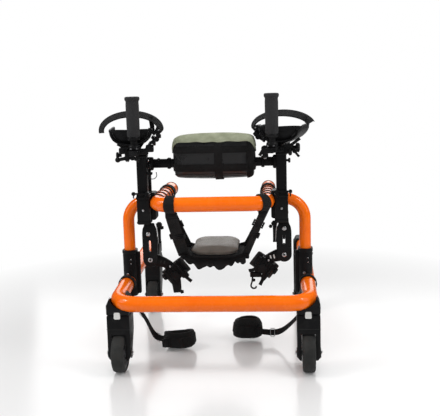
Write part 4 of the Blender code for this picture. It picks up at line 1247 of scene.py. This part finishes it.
def forearm_strap(word, side, put):
    """A stiff conical band over the forearm: free outer end, buckled inner end."""
    x, z = RAIL_X + side * TROUGH_SHIFT, TROUGH_Z
    middle = TROUGH_Y[0] + 0.05
    points, across = [], []
    wide, tall, first = ARCH[word]
    for i in range(49):
        a = math.radians(first + (180 - first) * i / 48)
        points.append(Vector((x + side * wide * math.cos(a), middle, z + tall * math.sin(a))))
        out = Vector((side * math.cos(a), 0, math.sin(a)))
        across.append(Y * math.cos(STRAP_LEAN) + out * math.sin(STRAP_LEAN))
    inner = Vector((x - side * 0.0735, middle, z - 0.006))
    points += [inner, Vector((x - side * 0.064, middle, z - 0.0105))]
    across += [across[-1], Y]
    bm = sweep(bmesh.new(), points, strip(0.034, 0.0034), across)
    put("forearm_band", bm, WEB, "forearm_strap")
    edge = bmesh.new()
    for way in (-1, 1):
        rim = [p + a.normalized() * way * 0.0166 for p, a in zip(points[:-2], across)]
        sweep(edge, rim, circle(0.0011, 8), Y)
    put("forearm_band_edges", edge, WEB)
    foot = Vector((x - side * (0.07 if side < 0 else 0.063), middle, z - 0.004))
    buckle = bmesh.new()
    block(buckle, foot - Vector((0.0055, 0.02, 0.014)), foot + Vector((0.0055, 0.02, 0.01)), 0.0025)
    block(buckle, foot + Vector((-0.0075, -0.024, -0.004)), foot + Vector((0.0075, -0.012, 0.006)), 0.002)
    for kind, dx, dy, dz, *rest in (
            (knob, -0.002, -0.016, -0.012, 0.0065, 0.01, 0.003),
            (knob, 0.012, -0.01, -0.016, 0.006, 0.011, 0.003),
            (lever, 0.004, -0.02, -0.02, (side * 0.018, 0, -0.01), 0.009, 0.006),
            (lever, 0.01, -0.018, -0.004, (side * 0.014, 0, 0.012), 0.007, 0.005)):
        kind(buckle, foot + Vector((side * dx, dy, dz)), -Y, *rest)
    put("forearm_buckle", buckle, BLACK)
    if side < 0:
        top, drops = (0.052, -0.004, 0.034), ((0, 0), (0.003, -0.02), (0.004, -0.038))
        width, flat = (0.012, 0.004), X
    else:
        top, drops = (0.062, -0.012, 0.03), ((0, 0), (0.006, -0.01), (0.001, -0.02))
        width, flat = (0.014, 0.003), Y
    path = [Vector((x, middle, z)) + Vector(top) + Vector((u, 0, v)) for u, v in drops]
    tab = sweep(bmesh.new(), flowing(path, 6), strip(*width), flat)
    put("forearm_tab", tab, WEB)
    pins = bmesh.new()
    for dx, dz in ((-0.002, 0.004), (0.01, -0.012)):
        rivet(pins, foot + Vector((side * dx, -0.0245, dz)), -Y, 0.0022)
    put("forearm_rivets", pins, STEEL)


def grip(put):
    """A foam hand grip with a turned rim, on a stem clamped to the arm rail."""
    foot = RAIL_Z[1] + 0.0003
    low, high, r = 0.596, 0.696, 0.0162
    rows = [(0, low), (r - 0.002, low), (r, low + 0.003), (r + 0.0002, low + 0.03)]
    rows += [(r + u, high - v) for u, v in (
        (0.0005, 0.022), (0, 0.0125), (0.0006, 0.0105), (0.0022, 0.0085), (0.0028, 0.005), (0.0022, 0.0018),
        (0.0002, 0.0002), (-0.004, -0.0002), (-0.006, 0.0015))] + [(0, high - 0.0018)]
    put("grip_foam", turn(bmesh.new(), rows, (RAIL_X, -0.03, 0), Z, 64), FOAM, "hand_grip")
    rows = [(0, foot), (0.0142, foot), (0.0142, foot + 0.01), (0.0125, foot + 0.0125), (0.0085, foot + 0.016),
            (0.0085, low + 0.001), (0, low + 0.001)]
    bm = turn(bmesh.new(), rows, (RAIL_X, -0.03, 0), Z, 40)
    block(bm, (RAIL_X - 0.0125, -0.046, foot), (RAIL_X + 0.0125, -0.014, foot + 0.0085), 0.0022)
    turn(bm, [(0, low - 0.008), (0.015, low - 0.008), (0.0162, low - 0.004), (0.015, low), (0, low)],
         (RAIL_X, -0.03, 0), Z, 40)
    put("grip_stem", bm, BLACK)
    pins = bmesh.new()
    for dx in (-0.007, 0.007):
        rivet(pins, (RAIL_X + dx, -0.0459, foot + 0.0042), -Y, 0.0026)
    put("grip_pins", pins, STEEL)


def arms():
    for word, side in SIDES:
        place = Matrix.Translation((side * POST.x, POST.y, 0)) @ Matrix.Rotation(ARM_YAW[word], 4, "Z")
        put = on_arm(word, place)
        arm_rail(side, put)
        trough(side, put)
        forearm_strap(word, side, put)
        grip(on_arm(word, place, "grip"))


arms()

# ---------------------------------------------------------------- thigh supports

ARM_LEAN, PAD_TILT = math.radians(14), math.radians(38)
PIVOT = {"left": Vector((-0.168, -0.188, 0.27)), "right": Vector((0.182, -0.188, 0.281))}
PLATE_FRONT, PLATE_BACK = -0.1925, -0.1835


def in_plane(points, at, side=1, angle=0.0):
    """Points of a front view, mirrored for a side and turned, about a place."""
    c, s = math.cos(angle), math.sin(angle)
    return [(at.x + side * (u * c - v * s), at.z + u * s + v * c) for u, v in points]


def thigh_plate(word, side, at):
    top = CLAMP_Z[0] - 0.0004
    rise = top - at.z
    right = [(0.0195, rise - 0.026), (0.018, rise - 0.015), (0.014, rise - 0.006), (0.0125, rise)]
    outline = [(-u, v) for u, v in reversed(right)] + arc((0, 0), (0.0195, 0.0195), 180, 360, 16) + right
    bm = extrude(bmesh.new(), in_plane(outline, at), -PLATE_BACK, -PLATE_FRONT, X, Z)
    soften(bm, 0.0018, 50, 3)
    slot = in_plane([(u, 0.037 + v) for u, v in rounded(0.006, 0.03, 0.0029, 5)], at)
    bm = carve(bm, extrude(bmesh.new(), slot, -PLATE_BACK - 0.01, -PLATE_FRONT + 0.01, X, Z))
    if side > 0:
        for z in (0.0255, 0.0475):
            tall = 0.015 if z > 0.03 else 0.008
            fill = in_plane([(u, z + v) for u, v in rounded(0.0058, tall, 0.0028, 4)], at)
            extrude(bm, fill, -PLATE_BACK + 0.001, -PLATE_FRONT - 0.001, X, Z)
    make(f"thigh_plate_{word}_body", bm, COAT, "upper", f"thigh_plate_{word}", sharp=32)
    up = Vector((side * 0.002 - 0.001, 0, 0.069))
    screw("upper", Vector((at.x, PLATE_FRONT, at.z)) + up, -Y, 0.0056, 0.003)
    wing, x = bmesh.new(), at.x - side * 0.024
    lever(wing, Vector((x, -0.176, 0.36)), -Y, Vector((0, -0.004, -0.048)), 0.01, 0.004)
    block(wing, (x - 0.005, -0.18, 0.352), (x + 0.005, -0.17, 0.3675), 0.002)
    for dx, z, r in ((0.026, 0.364, 0.006), (0.034, 0.356, 0.0045)):
        knob(wing, (at.x - side * dx, -0.186, z), -Y, r, 0.01, 0.003)
    make(f"clamp_wing_{word}", wing, BLACK, "upper")
    wire = bmesh.new()
    edge = at.x - side * 0.0165
    path = [(edge - side * u, -0.1815, z) for u, z in ((0.0, 0.366), (0.004, 0.34), (0.005, 0.312))]
    sweep(wire, flowing(path, 8), circle(0.0008, 10), Y)
    make(f"clamp_wire_{word}", wire, STEEL, "upper")


def thigh_arm(word, side, at):
    """The cranked arm behind the plate, its bolt, and the clamp with its pad at the end."""
    body = f"thigh_{word}"
    outline = arc((0, 0), (0.0168, 0.0168), -90, 90, 14)
    outline += [(-0.02, 0.0155), (-0.04, 0.011), (-0.0455, 0.006), (-0.0455, -0.009), (-0.04, -0.0135),
                (-0.02, -0.016)]
    shape = in_plane(outline, at, side, ARM_LEAN)
    bm = extrude(bmesh.new(), shape, -PLATE_BACK - 0.0078, -PLATE_BACK - 0.0003, X, Z)
    soften(bm, 0.0016, 50, 3)
    rod(bm, (at.x, PLATE_BACK + 0.001, at.z), -Y, 0.0042, 0, 0.012)
    make(f"thigh_arm_{word}_body", bm, COAT, body, f"thigh_arm_{word}", sharp=32)
    screw(body, Vector((at.x, PLATE_FRONT - 0.0003, at.z)), -Y, 0.0062, 0.0032)
    # The slots are flat filled bars, not openings: pale on the right arm as painted light, dark grey on the
    # left arm as painted shade.
    slot_light_and_shade = bmesh.new()
    for u in (-0.027, -0.036):
        tall = 0.0105 if side > 0 else 0.0085
        bar = in_plane([(u + a, b) for a, b in rounded(0.0032, tall, 0.0013, 4)], at, side, ARM_LEAN)
        extrude(slot_light_and_shade, bar, -PLATE_BACK - 0.0005, -PLATE_BACK + 0.0004, X, Z)
    make(f"thigh_arm_slots_painted_light_and_shade_{word}", slot_light_and_shade, PALE if side > 0 else RUBBER, body)
    centre = at + (Vector((0.063, 0.025, -0.037)) if side < 0 else Vector((-0.053, 0.024, -0.034)))
    link = bmesh.new()
    tip = in_plane([(-0.036, -0.001)], at, side, ARM_LEAN)[0]
    path = [Vector((tip[0], -0.178, tip[1])), Vector((tip[0] - side * 0.01, -0.177, tip[1] - 0.008)),
            centre + Vector((side * 0.006, -0.014, 0.006))]
    sweep(link, flowing(path, 6), rounded(0.024, 0.009, 0.003, 4), X + Z, grow=lambda t: 1.0 + 0.15 * t)
    make(f"thigh_link_{word}", link, COAT, body)
    tilt = Matrix.Rotation(side * PAD_TILT, 4, "Y")
    place = Matrix.Translation(centre) @ tilt @ Matrix.Diagonal((1.26, 1.0, 1.22, 1.0))
    outer = arc((0, 0), (0.03, 0.0125), 14, 166, 14)
    section = outer + arc((0, -0.004), (0.026, 0.008), 166, 14, 14)
    pad = puff(extrude(bmesh.new(), section, -0.019, 0.019, X, Y), 0.0036, 3.0, 0.003)
    pad = make(f"thigh_pad_{word}_cover", pad, VINYL, body, f"thigh_pad_{word}", place, sharp=60)
    bits = bmesh.new()
    block(bits, (-0.014, -0.024, -0.015), (0.014, -0.001, 0.016), 0.004)
    for i in range(6):
        x = -0.0135 + 0.0054 * i
        block(bits, (x - 0.0014, -0.0262, -0.0165), (x + 0.0014, -0.006, 0.0175), 0.0009, 2)
    fit(bits, (
        (block, (-0.02, -0.02, -0.007), (-0.011, -0.006, 0.012), 0.003),
        (block, (0.009, -0.023, -0.025), (0.019, -0.008, -0.008), 0.003),
        (knob, (-0.002, -0.025, -0.004), -Y, 0.009, 0.008, 0.004),
        (knob, (side * 0.017, -0.014, 0.006), X * side, 0.007, 0.011, 0.0035),
        (lever, (-0.01, -0.02, -0.013), -Y, (-0.01, -0.003, -0.013), 0.008, 0.005),
        (lever, (0.012, -0.021, -0.016), -Y, (0.004, -0.004, -0.02), 0.008, 0.005)))
    make(f"thigh_clamp_{word}", bits, BLACK, body, place=place)
    tail = bmesh.new()
    if side < 0:
        high, low = Vector((-0.106, -0.18, 0.222)), Vector((-0.101, -0.18, 0.179))
        sweep(tail, flowing([high + Vector((-0.004, 0, 0.012)), high, (high + low) / 2 + X * 0.001, low], 6),
              rounded(0.028, 0.01, 0.003, 3), X, grow=lambda t: 1.1 - 0.36 * t)
        block(tail, high + Vector((-0.014, -0.008, -0.004)), high + Vector((0.016, 0.006, 0.01)), 0.003)
        knob(tail, low + Vector((0.013, -0.004, 0.004)), -Y, 0.005, 0.008, 0.0028)
        knob(tail, high + Vector((0.02, -0.004, 0.01)), X, 0.006, 0.009, 0.003)
        sweep(tail, [low + Vector((0.002, -0.002, 0.004)), low + Vector((0.013, -0.004, 0.004))],
              circle(0.0024, 12), Z)
    else:
        start = Vector((0.1, -0.18, 0.223))
        curve = [start + Vector((u, 0, v)) for u, v in (
            (0.012, 0.014), (0, 0), (-0.003, -0.016), (-0.006, -0.028), (-0.001, -0.0345), (0.006, -0.0335),
            (0.008, -0.029))]
        sweep(tail, flowing(curve, 6), rounded(0.005, 0.0042, 0.0016, 3), Y)
        block(tail, start + Vector((-0.008, -0.006, -0.004)), start + Vector((0.022, 0.006, 0.01)), 0.0028)
        knob(tail, start + Vector((0.002, -0.005, -0.01)), -Y, 0.0042, 0.006, 0.0024)
    make(f"thigh_clip_{word}", tail, BLACK, body)
    screw(body, centre + Vector((side * 0.012, -0.0245, 0.018)), -Y, 0.003, 0.0016)


# ---------------------------------------------------------------- saddle and its straps

SEAT, SEAT_HALF = Vector((-0.006, -0.04, 0.275)), Vector((0.0735, 0.092, 0.0145))


def bend_stretch(side, start, stop, count):
    """Centre points along one bend of the upper tube, from 0 to 1 of its arc."""
    path = bent([(-TOP_HALF, TOP_END, BEAM_Z), (-TOP_HALF, BEAM_Y, BEAM_Z), (TOP_HALF, BEAM_Y, BEAM_Z),
                 (TOP_HALF, TOP_END, BEAM_Z)], TOP_BEND, 60)
    first, reach, points = 1 if side < 0 else 62, TOP_BEND * math.pi / 2, []
    for i in range(count):
        t = start + (stop - start) * i / (count - 1)
        points.append(path[first + round(60 * min(t, 1))] + X * reach * max(0.0, t - 1))
    return points


def loop_round(stretch, radius, thickness=0.0024, steps=56):
    """Webbing wrapped round a length of tube."""

    def spot(k, i):
        a = 2 * math.pi * k / steps
        run = (stretch[min(i + 1, len(stretch) - 1)] - stretch[max(i - 1, 0)]).normalized()
        flat = run.cross(Z).normalized()
        out = flat * math.cos(a) + flat.cross(run) * -math.sin(a)
        return stretch[i] + out * (radius + 0.0006 * math.sin(3 * a + 1)), out

    return shell(bmesh.new(), *grid_of(steps, len(stretch), spot), thickness, closed=True)


def stitches(bm, start, along, across, width, length):
    """A sewn box with a cross: small raised threads lying on a strap."""
    along, across = along.normalized(), across.normalized()
    w, h = across * width / 2, along * length
    corners = [start - w, start + w, start + w + h, start - w + h]
    runs = [*zip(corners, corners[1:] + corners[:1]), (corners[0], corners[2]), (corners[1], corners[3])]
    for a, b in runs:
        count = max(2, int((b - a).length / 0.0026))
        for i in range(count):
            p, q = a.lerp(b, (i + 0.15) / count), a.lerp(b, (i + 0.75) / count)
            sweep(bm, [p, q], circle(0.00045, 6), along.cross(across))


def ladder_lock(bm, at, along, across, width):
    """A plastic three-bar slide on a strap."""
    for k in (-1, 0, 1):
        mid = at + along * 0.0075 * k
        sweep(bm, [mid - across * width * 0.62, mid + across * width * 0.62],
              rounded(0.0042, 0.0056, 0.0018, 3), along)
    for k in (-1, 1):
        mid = at + across * width * 0.6 * k
        sweep(bm, [mid - along * 0.0095, mid + along * 0.0095], rounded(0.004, 0.0062, 0.0018, 3), across)


def saddle_strap(name, stretch, foot, width=0.024):
    bm = loop_round(stretch, TOP_RADIUS + 0.0012)
    top = stretch[len(stretch) // 2] - Z * (TOP_RADIUS + 0.0015)
    below = top - Z * 0.01
    path = [top] + flowing([below, (below + foot) / 2 - Z * 0.003, foot], 12)
    last = len(path) - 1
    face = [(X + Y * 0.25 * math.sin(math.pi * i / last)).normalized() for i in range(last + 1)]
    sweep(bm, path, strip(width, 0.0025), face)
    lap = [p + Y * -0.0027 for p in path[2:11]]
    sweep(bm, lap, strip(width - 0.002, 0.0024), face[2:11])
    run = (path[9] - path[4]).normalized()
    wide = (X - run * run.x).normalized()
    out = -1 if run.cross(wide).y > 0 else 1
    threads = bmesh.new()
    stitches(threads, path[5] + run.cross(wide) * out * 0.0056, run, wide, width * 0.62, 0.014)
    make(f"{name}_thread", threads, SHADE, "upper")
    buckle = bmesh.new()
    ladder_lock(buckle, path[12], (path[13] - path[11]).normalized(), wide, width)
    make(f"{name}_slide", buckle, BLACK, "upper")
    make(f"{name}_web", bm, WEB, "upper", name)


def sling():
    """The gathered cloth under the seat: held up at both sides, its front and back edges hanging."""
    grid, normals = [], []
    low = SEAT.z - SEAT_HALF.z - 0.0022
    rows, columns = 64, 73
    for i in range(rows):
        t = i / (rows - 1)
        row = []
        for j in range(columns):
            s = j / (columns - 1)
            x = -0.0955 + 0.1745 * s
            rise = 0.01 * (abs(2 * s - 1) ** 3) - 0.0035 * (1 - abs(2 * s - 1) ** 2)
            fold = noise.noise(Vector((x * 70, i * 0.11, 3.1)))
            pleat = math.sin(x * 250 + 4.5 * noise.noise(Vector((x * 30, 0.3, 0.7))))
            ragged = noise.noise(Vector((x * 55, 1.7, 9.2)))
            if 0.2 < t < 0.8:
                y = -0.112 + 0.15 * (t - 0.2) / 0.6
                place = Vector((x, y, low + rise - 0.004 - 0.0022 * (1 + fold)))
            else:
                drop = (0.2 - t) / 0.2 if t <= 0.2 else (t - 0.8) / 0.2
                front = -1 if t <= 0.2 else 1
                edge = -0.112 if front < 0 else 0.038
                depth = 0.0225 + 0.005 * math.sin(x * 95 + 0.6) + (0.003 * pleat + 0.011 * ragged) * drop
                depth *= 1.0 - 0.35 * abs(2 * s - 1) ** 4
                bulge = math.sin(math.pi * min(1.0, drop * 1.15))
                y = edge + front * (0.005 * bulge + 0.003 * pleat * drop + 0.002 * fold)
                place = Vector((x, y, low + rise - 0.004 - 0.0022 * (1 + fold) * (1 - drop) - depth * drop))
            row.append(place)
        grid.append(row)
    for i in range(rows):
        outs = []
        for j in range(columns):
            across = grid[i][min(j + 1, columns - 1)] - grid[i][max(j - 1, 0)]
            along = grid[min(i + 1, rows - 1)][j] - grid[max(i - 1, 0)][j]
            outs.append(across.cross(along).normalized())
        normals.append(outs)
    piece = make("saddle_sling_cloth", shell(bmesh.new(), grid, normals, 0.0016), SHADE, "upper",
                 "saddle_sling", sharp=60)
    lining = bmesh.new()
    for k, y in ((-1, -0.114), (1, 0.04)):
        path = []
        for j in range(60):
            s = j / 59
            x = -0.094 + 0.171 * s
            path.append(Vector((x, y + k * 0.0012 * math.sin(x * 120),
                                low + 0.01 * (abs(2 * s - 1) ** 3) - 0.007)))
        sweep(lining, path, strip(0.016, 0.0026), Z)
    for s in (-1, 1):
        x = SEAT.x + s * 0.082
        path = [Vector((x, y, low + 0.002 + 0.0006 * math.sin(y * 150)))
                for y in (-0.112, -0.08, -0.04, 0.0, 0.036)]
        sweep(lining, path, strip(0.016, 0.0026), X)
    make("saddle_sling_binding", lining, WEB, "upper")
    clips = bmesh.new()
    for s in (-1, 1):
        for y in (-0.106, 0.01):
            at = Vector((SEAT.x + s * 0.085, y, low + 0.006))
            block(clips, at - Vector((0.009, 0.01, 0.005)), at + Vector((0.009, 0.01, 0.005)), 0.0028)
            at.x += s * 0.004
            block(clips, at - Vector((0.005, 0.0085, 0.012)), at + Vector((0.005, 0.0085, -0.003)), 0.0024)
    make("saddle_clips", clips, BLACK, "upper")
    tuck = bmesh.new()
    for k, (dx, dz) in enumerate(((-0.09, -0.002), (-0.093, 0.013), (-0.086, -0.014))):
        path = [Vector((SEAT.x + dx + 0.002 * math.sin(i * 1.9 + k), -0.118 + 0.007 * i,
                        SEAT.z + dz + 0.002 * math.sin(i + k))) for i in range(9)]
        sweep(tuck, flowing(path, 4), rounded(0.013, 0.01, 0.004, 3), X,
              grow=lambda t: 0.75 + 0.25 * math.sin(3 * t))
    make("saddle_tucks", tuck, SHADE, "upper")


def saddle():
    half = SEAT_HALF - Vector((0.0045, 0.0045, 0.005))
    loops = []
    for k in range(-7, 8):
        a = math.radians(12.4 * k)
        size, rise = math.cos(a) ** 0.34, math.sin(a)
        loops.append([Vector((SEAT.x + u * size, SEAT.y + v * size, SEAT.z + half.z * rise))
                      for u, v in rounded(half.x * 2, half.y * 2, 0.036, 8)])
    bm = loft(bmesh.new(), loops)
    cover = puff(bm, 0.004, 7.0, 0.005, 8.0)
    tree = tree_of(cover)
    make("saddle_cushion", cover, TAUPE, "upper", "saddle_pad", sharp=60)
    pipe = bmesh.new()
    sweep(pipe, ring_on(tree, SEAT - Z * 0.0078, 120, 0.0003), circle(0.0013, 8), Z, closed=True)
    make("saddle_seam", pipe, TAUPE, "upper")
    base = [(SEAT.x + u, SEAT.y + v) for u, v in rounded(0.122, 0.17, 0.02, 6)]
    base = soften(extrude(bmesh.new(), base, SEAT.z - 0.0165, SEAT.z - 0.0125, X, Y), 0.001, 50, 2)
    make("saddle_board", base, SHADE, "upper")
    for word, side in SIDES:
        foot = Vector((SEAT.x + side * 0.0835, -0.104, 0.2605))
        start, stop, width = (0.8, 1.12, 0.031) if side < 0 else (0.34, 0.62, 0.02)
        saddle_strap(f"saddle_strap_front_{word}", bend_stretch(side, start, stop, 7), foot, width)
        rail = [Vector((side * TOP_HALF, y, BEAM_Z)) for y in (-0.042, -0.036, -0.03, -0.024, -0.018)]
        saddle_strap(f"saddle_strap_rear_{word}", rail, Vector((SEAT.x + side * 0.0835, 0.008, 0.2605)))
    sling()


# ---------------------------------------------------------------- ankle straps

ROUTE = {
    "left": ((-0.214, -0.14, 0.122), (-0.199, -0.122, 0.086), (-0.178, -0.104, 0.034),
             (-0.146, -0.11, 0.0245)),
    "right": ((0.226, -0.135, 0.112), (0.19, -0.092, 0.056), (0.158, -0.066, 0.03),
              (0.112, -0.058, 0.029)),
}
# Each cuff's middle, and its turns about Z, X and Y in degrees.
CUFF = {"left": (Vector((-0.1085, -0.112, 0.0275)), (-6, 0, -5)),
        "right": (Vector((0.0765, -0.04, 0.0375)), (10, 4, 0))}


def oval(wide, deep, steps=72):
    """An open cuff seen from above, a little squared."""
    points = []
    for i in range(steps):
        a = 2 * math.pi * i / steps
        c, s = math.cos(a), math.sin(a)
        points.append(Vector((math.copysign(abs(c) ** 0.82, c) * wide / 2,
                              math.copysign(abs(s) ** 0.82, s) * deep / 2, 0)))
    return points


def tether(word, side):
    rail = [Vector((side * BASE_HALF, y, rail_height(y)))
            for y in (-0.1475, -0.1435, -0.1395, -0.1355, -0.1315)]
    bm = loop_round(rail, BASE_RADIUS + 0.0011)
    start = rail[2] - Z * (BASE_RADIUS + 0.0015)
    path = flowing([start, *ROUTE[word]], 12)
    last = len(path) - 1
    twist = [Y.lerp(Z, i / last).normalized() for i in range(last + 1)]
    sweep(bm, path, strip(0.0165, 0.0022), twist)
    make(f"ankle_tether_{word}_web", bm, WEB, "base", f"ankle_tether_{word}")
    rings = bmesh.new()
    for k, size in ((15, 0.0095), (19, 0.0075)) if side < 0 else ((9, 0.0065),):
        at = path[k]
        run = (path[k + 1] - path[k - 1]).normalized()
        wide = twist[k]
        ring = [at + (run * math.cos(a) + wide * math.sin(a)) * size - run.cross(wide) * 0.002
                for a in (2 * math.pi * i / 28 for i in range(28))]
        sweep(rings, ring, circle(0.0011, 10), run.cross(wide), closed=True)
    k = last - 9
    run, wide = (path[k + 1] - path[k - 1]).normalized(), twist[k]
    frame_at = path[k] - run.cross(wide) * 0.0015
    corners = [frame_at + run * u + wide * v for u, v in rounded(0.012, 0.022, 0.003, 4)]
    sweep(rings, corners, circle(0.0011, 10), run.cross(wide), closed=True)
    make(f"ankle_rings_{word}", rings, STEEL, "base")
    threads = bmesh.new()
    k = 16
    run, wide = (path[k + 3] - path[k]).normalized(), twist[k]
    wide = (wide - run * wide.dot(run)).normalized()
    for way in (-1, 1):
        stitches(threads, path[k] + run.cross(wide) * way * 0.0013, run, wide, 0.01, 0.009)
    make(f"ankle_thread_{word}", threads, SHADE, "base")


def cuff(word, side):
    centre, turns = CUFF[word]
    place = Matrix.Translation(centre)
    for degrees, axis in zip(turns, "ZXY"):
        place = place @ Matrix.Rotation(math.radians(degrees), 4, axis)
    spine = oval(0.0755, 0.0455)
    for i, point in enumerate(spine):
        a = 2 * math.pi * i / len(spine)
        point.z = 0.0015 * math.sin(2 * a + 0.7)
    high = 0.04 if side < 0 else 0.052
    padding = sweep(bmesh.new(), spine, rounded(high, 0.0095, 0.004, 4), Z, closed=True)
    for vertex in padding.verts:
        rise = max(0.0, 2 * vertex.co.z / high)
        if side < 0:
            vertex.co.z += rise * (0.0035 - 0.004 * vertex.co.y / 0.028)
        else:
            droop = 0.008 * (vertex.co.x / 0.04) ** 2
            vertex.co.z += rise * (0.006 - 0.006 * vertex.co.y / 0.028 - droop)
            vertex.co.x *= 1 - 0.16 * rise * rise
    padding = puff(padding, 0.0034, 3.0, 0.0035)
    tree = tree_of(padding)
    padding = make(f"ankle_cuff_{word}_padding", padding, FLEECE, "base", f"ankle_cuff_{word}", place, 60)

    def spot(i, j):
        a = 2 * math.pi * i / 100
        out = Vector((math.cos(a), math.sin(a), 0))
        z = -0.0115 + 0.023 * j / 5 + 0.0015 * math.sin(2 * a + 0.7)
        found = tree.ray_cast(out * 0.09 + Z * z, -out)[0]
        return (found + out * 0.0003 if found else Vector((out.x * 0.043, out.y * 0.028, z))), out

    band = shell(bmesh.new(), *grid_of(100, 6, spot), 0.0022, closed=True)
    make(f"ankle_cuff_band_{word}", band, WEB, "base", place=place)
    front, flap, path = -0.0315, bmesh.new(), []
    start, stop = (-0.034, 0.012) if side < 0 else (-0.01, 0.036)
    for i in range(15):
        x = start + (stop - start) * i / 14
        y = front - 0.0012 * math.sin(i * 0.5) + 0.012 * (abs(x) / 0.043) ** 4
        path.append(Vector((x, y, -0.001)))
    sweep(flap, path, strip(0.026, 0.003), Z)
    make(f"ankle_cuff_flap_{word}", flap, WEB, "base", place=place)
    at = Vector((-0.03 if side < 0 else 0.028, front - 0.0012, 0.0))
    buckle = bmesh.new()
    block(buckle, at - Vector((0.0085, 0.004, 0.0125)), at + Vector((0.0085, 0.003, 0.0125)), 0.0026)
    block(buckle, at - Vector((0.0035, 0.0065, 0.008)), at + Vector((0.0035, 0.0, 0.008)), 0.0016, 2)
    at.x -= 0.011
    sweep(buckle, [at - Z * 0.011, at + Z * 0.011], circle(0.002, 12), Y)
    make(f"ankle_buckle_{word}", buckle, BLACK, "base", place=place)


def legs_and_seat():
    for word, side in SIDES:
        thigh_plate(word, side, PIVOT[word])
        thigh_arm(word, side, PIVOT[word])
        tether(word, side)
        cuff(word, side)
    saddle()


def finish_hardware():
    for body, bm in hardware.items():
        make(f"screws_{body}", bm, STEEL, body)


legs_and_seat()
finish_hardware()
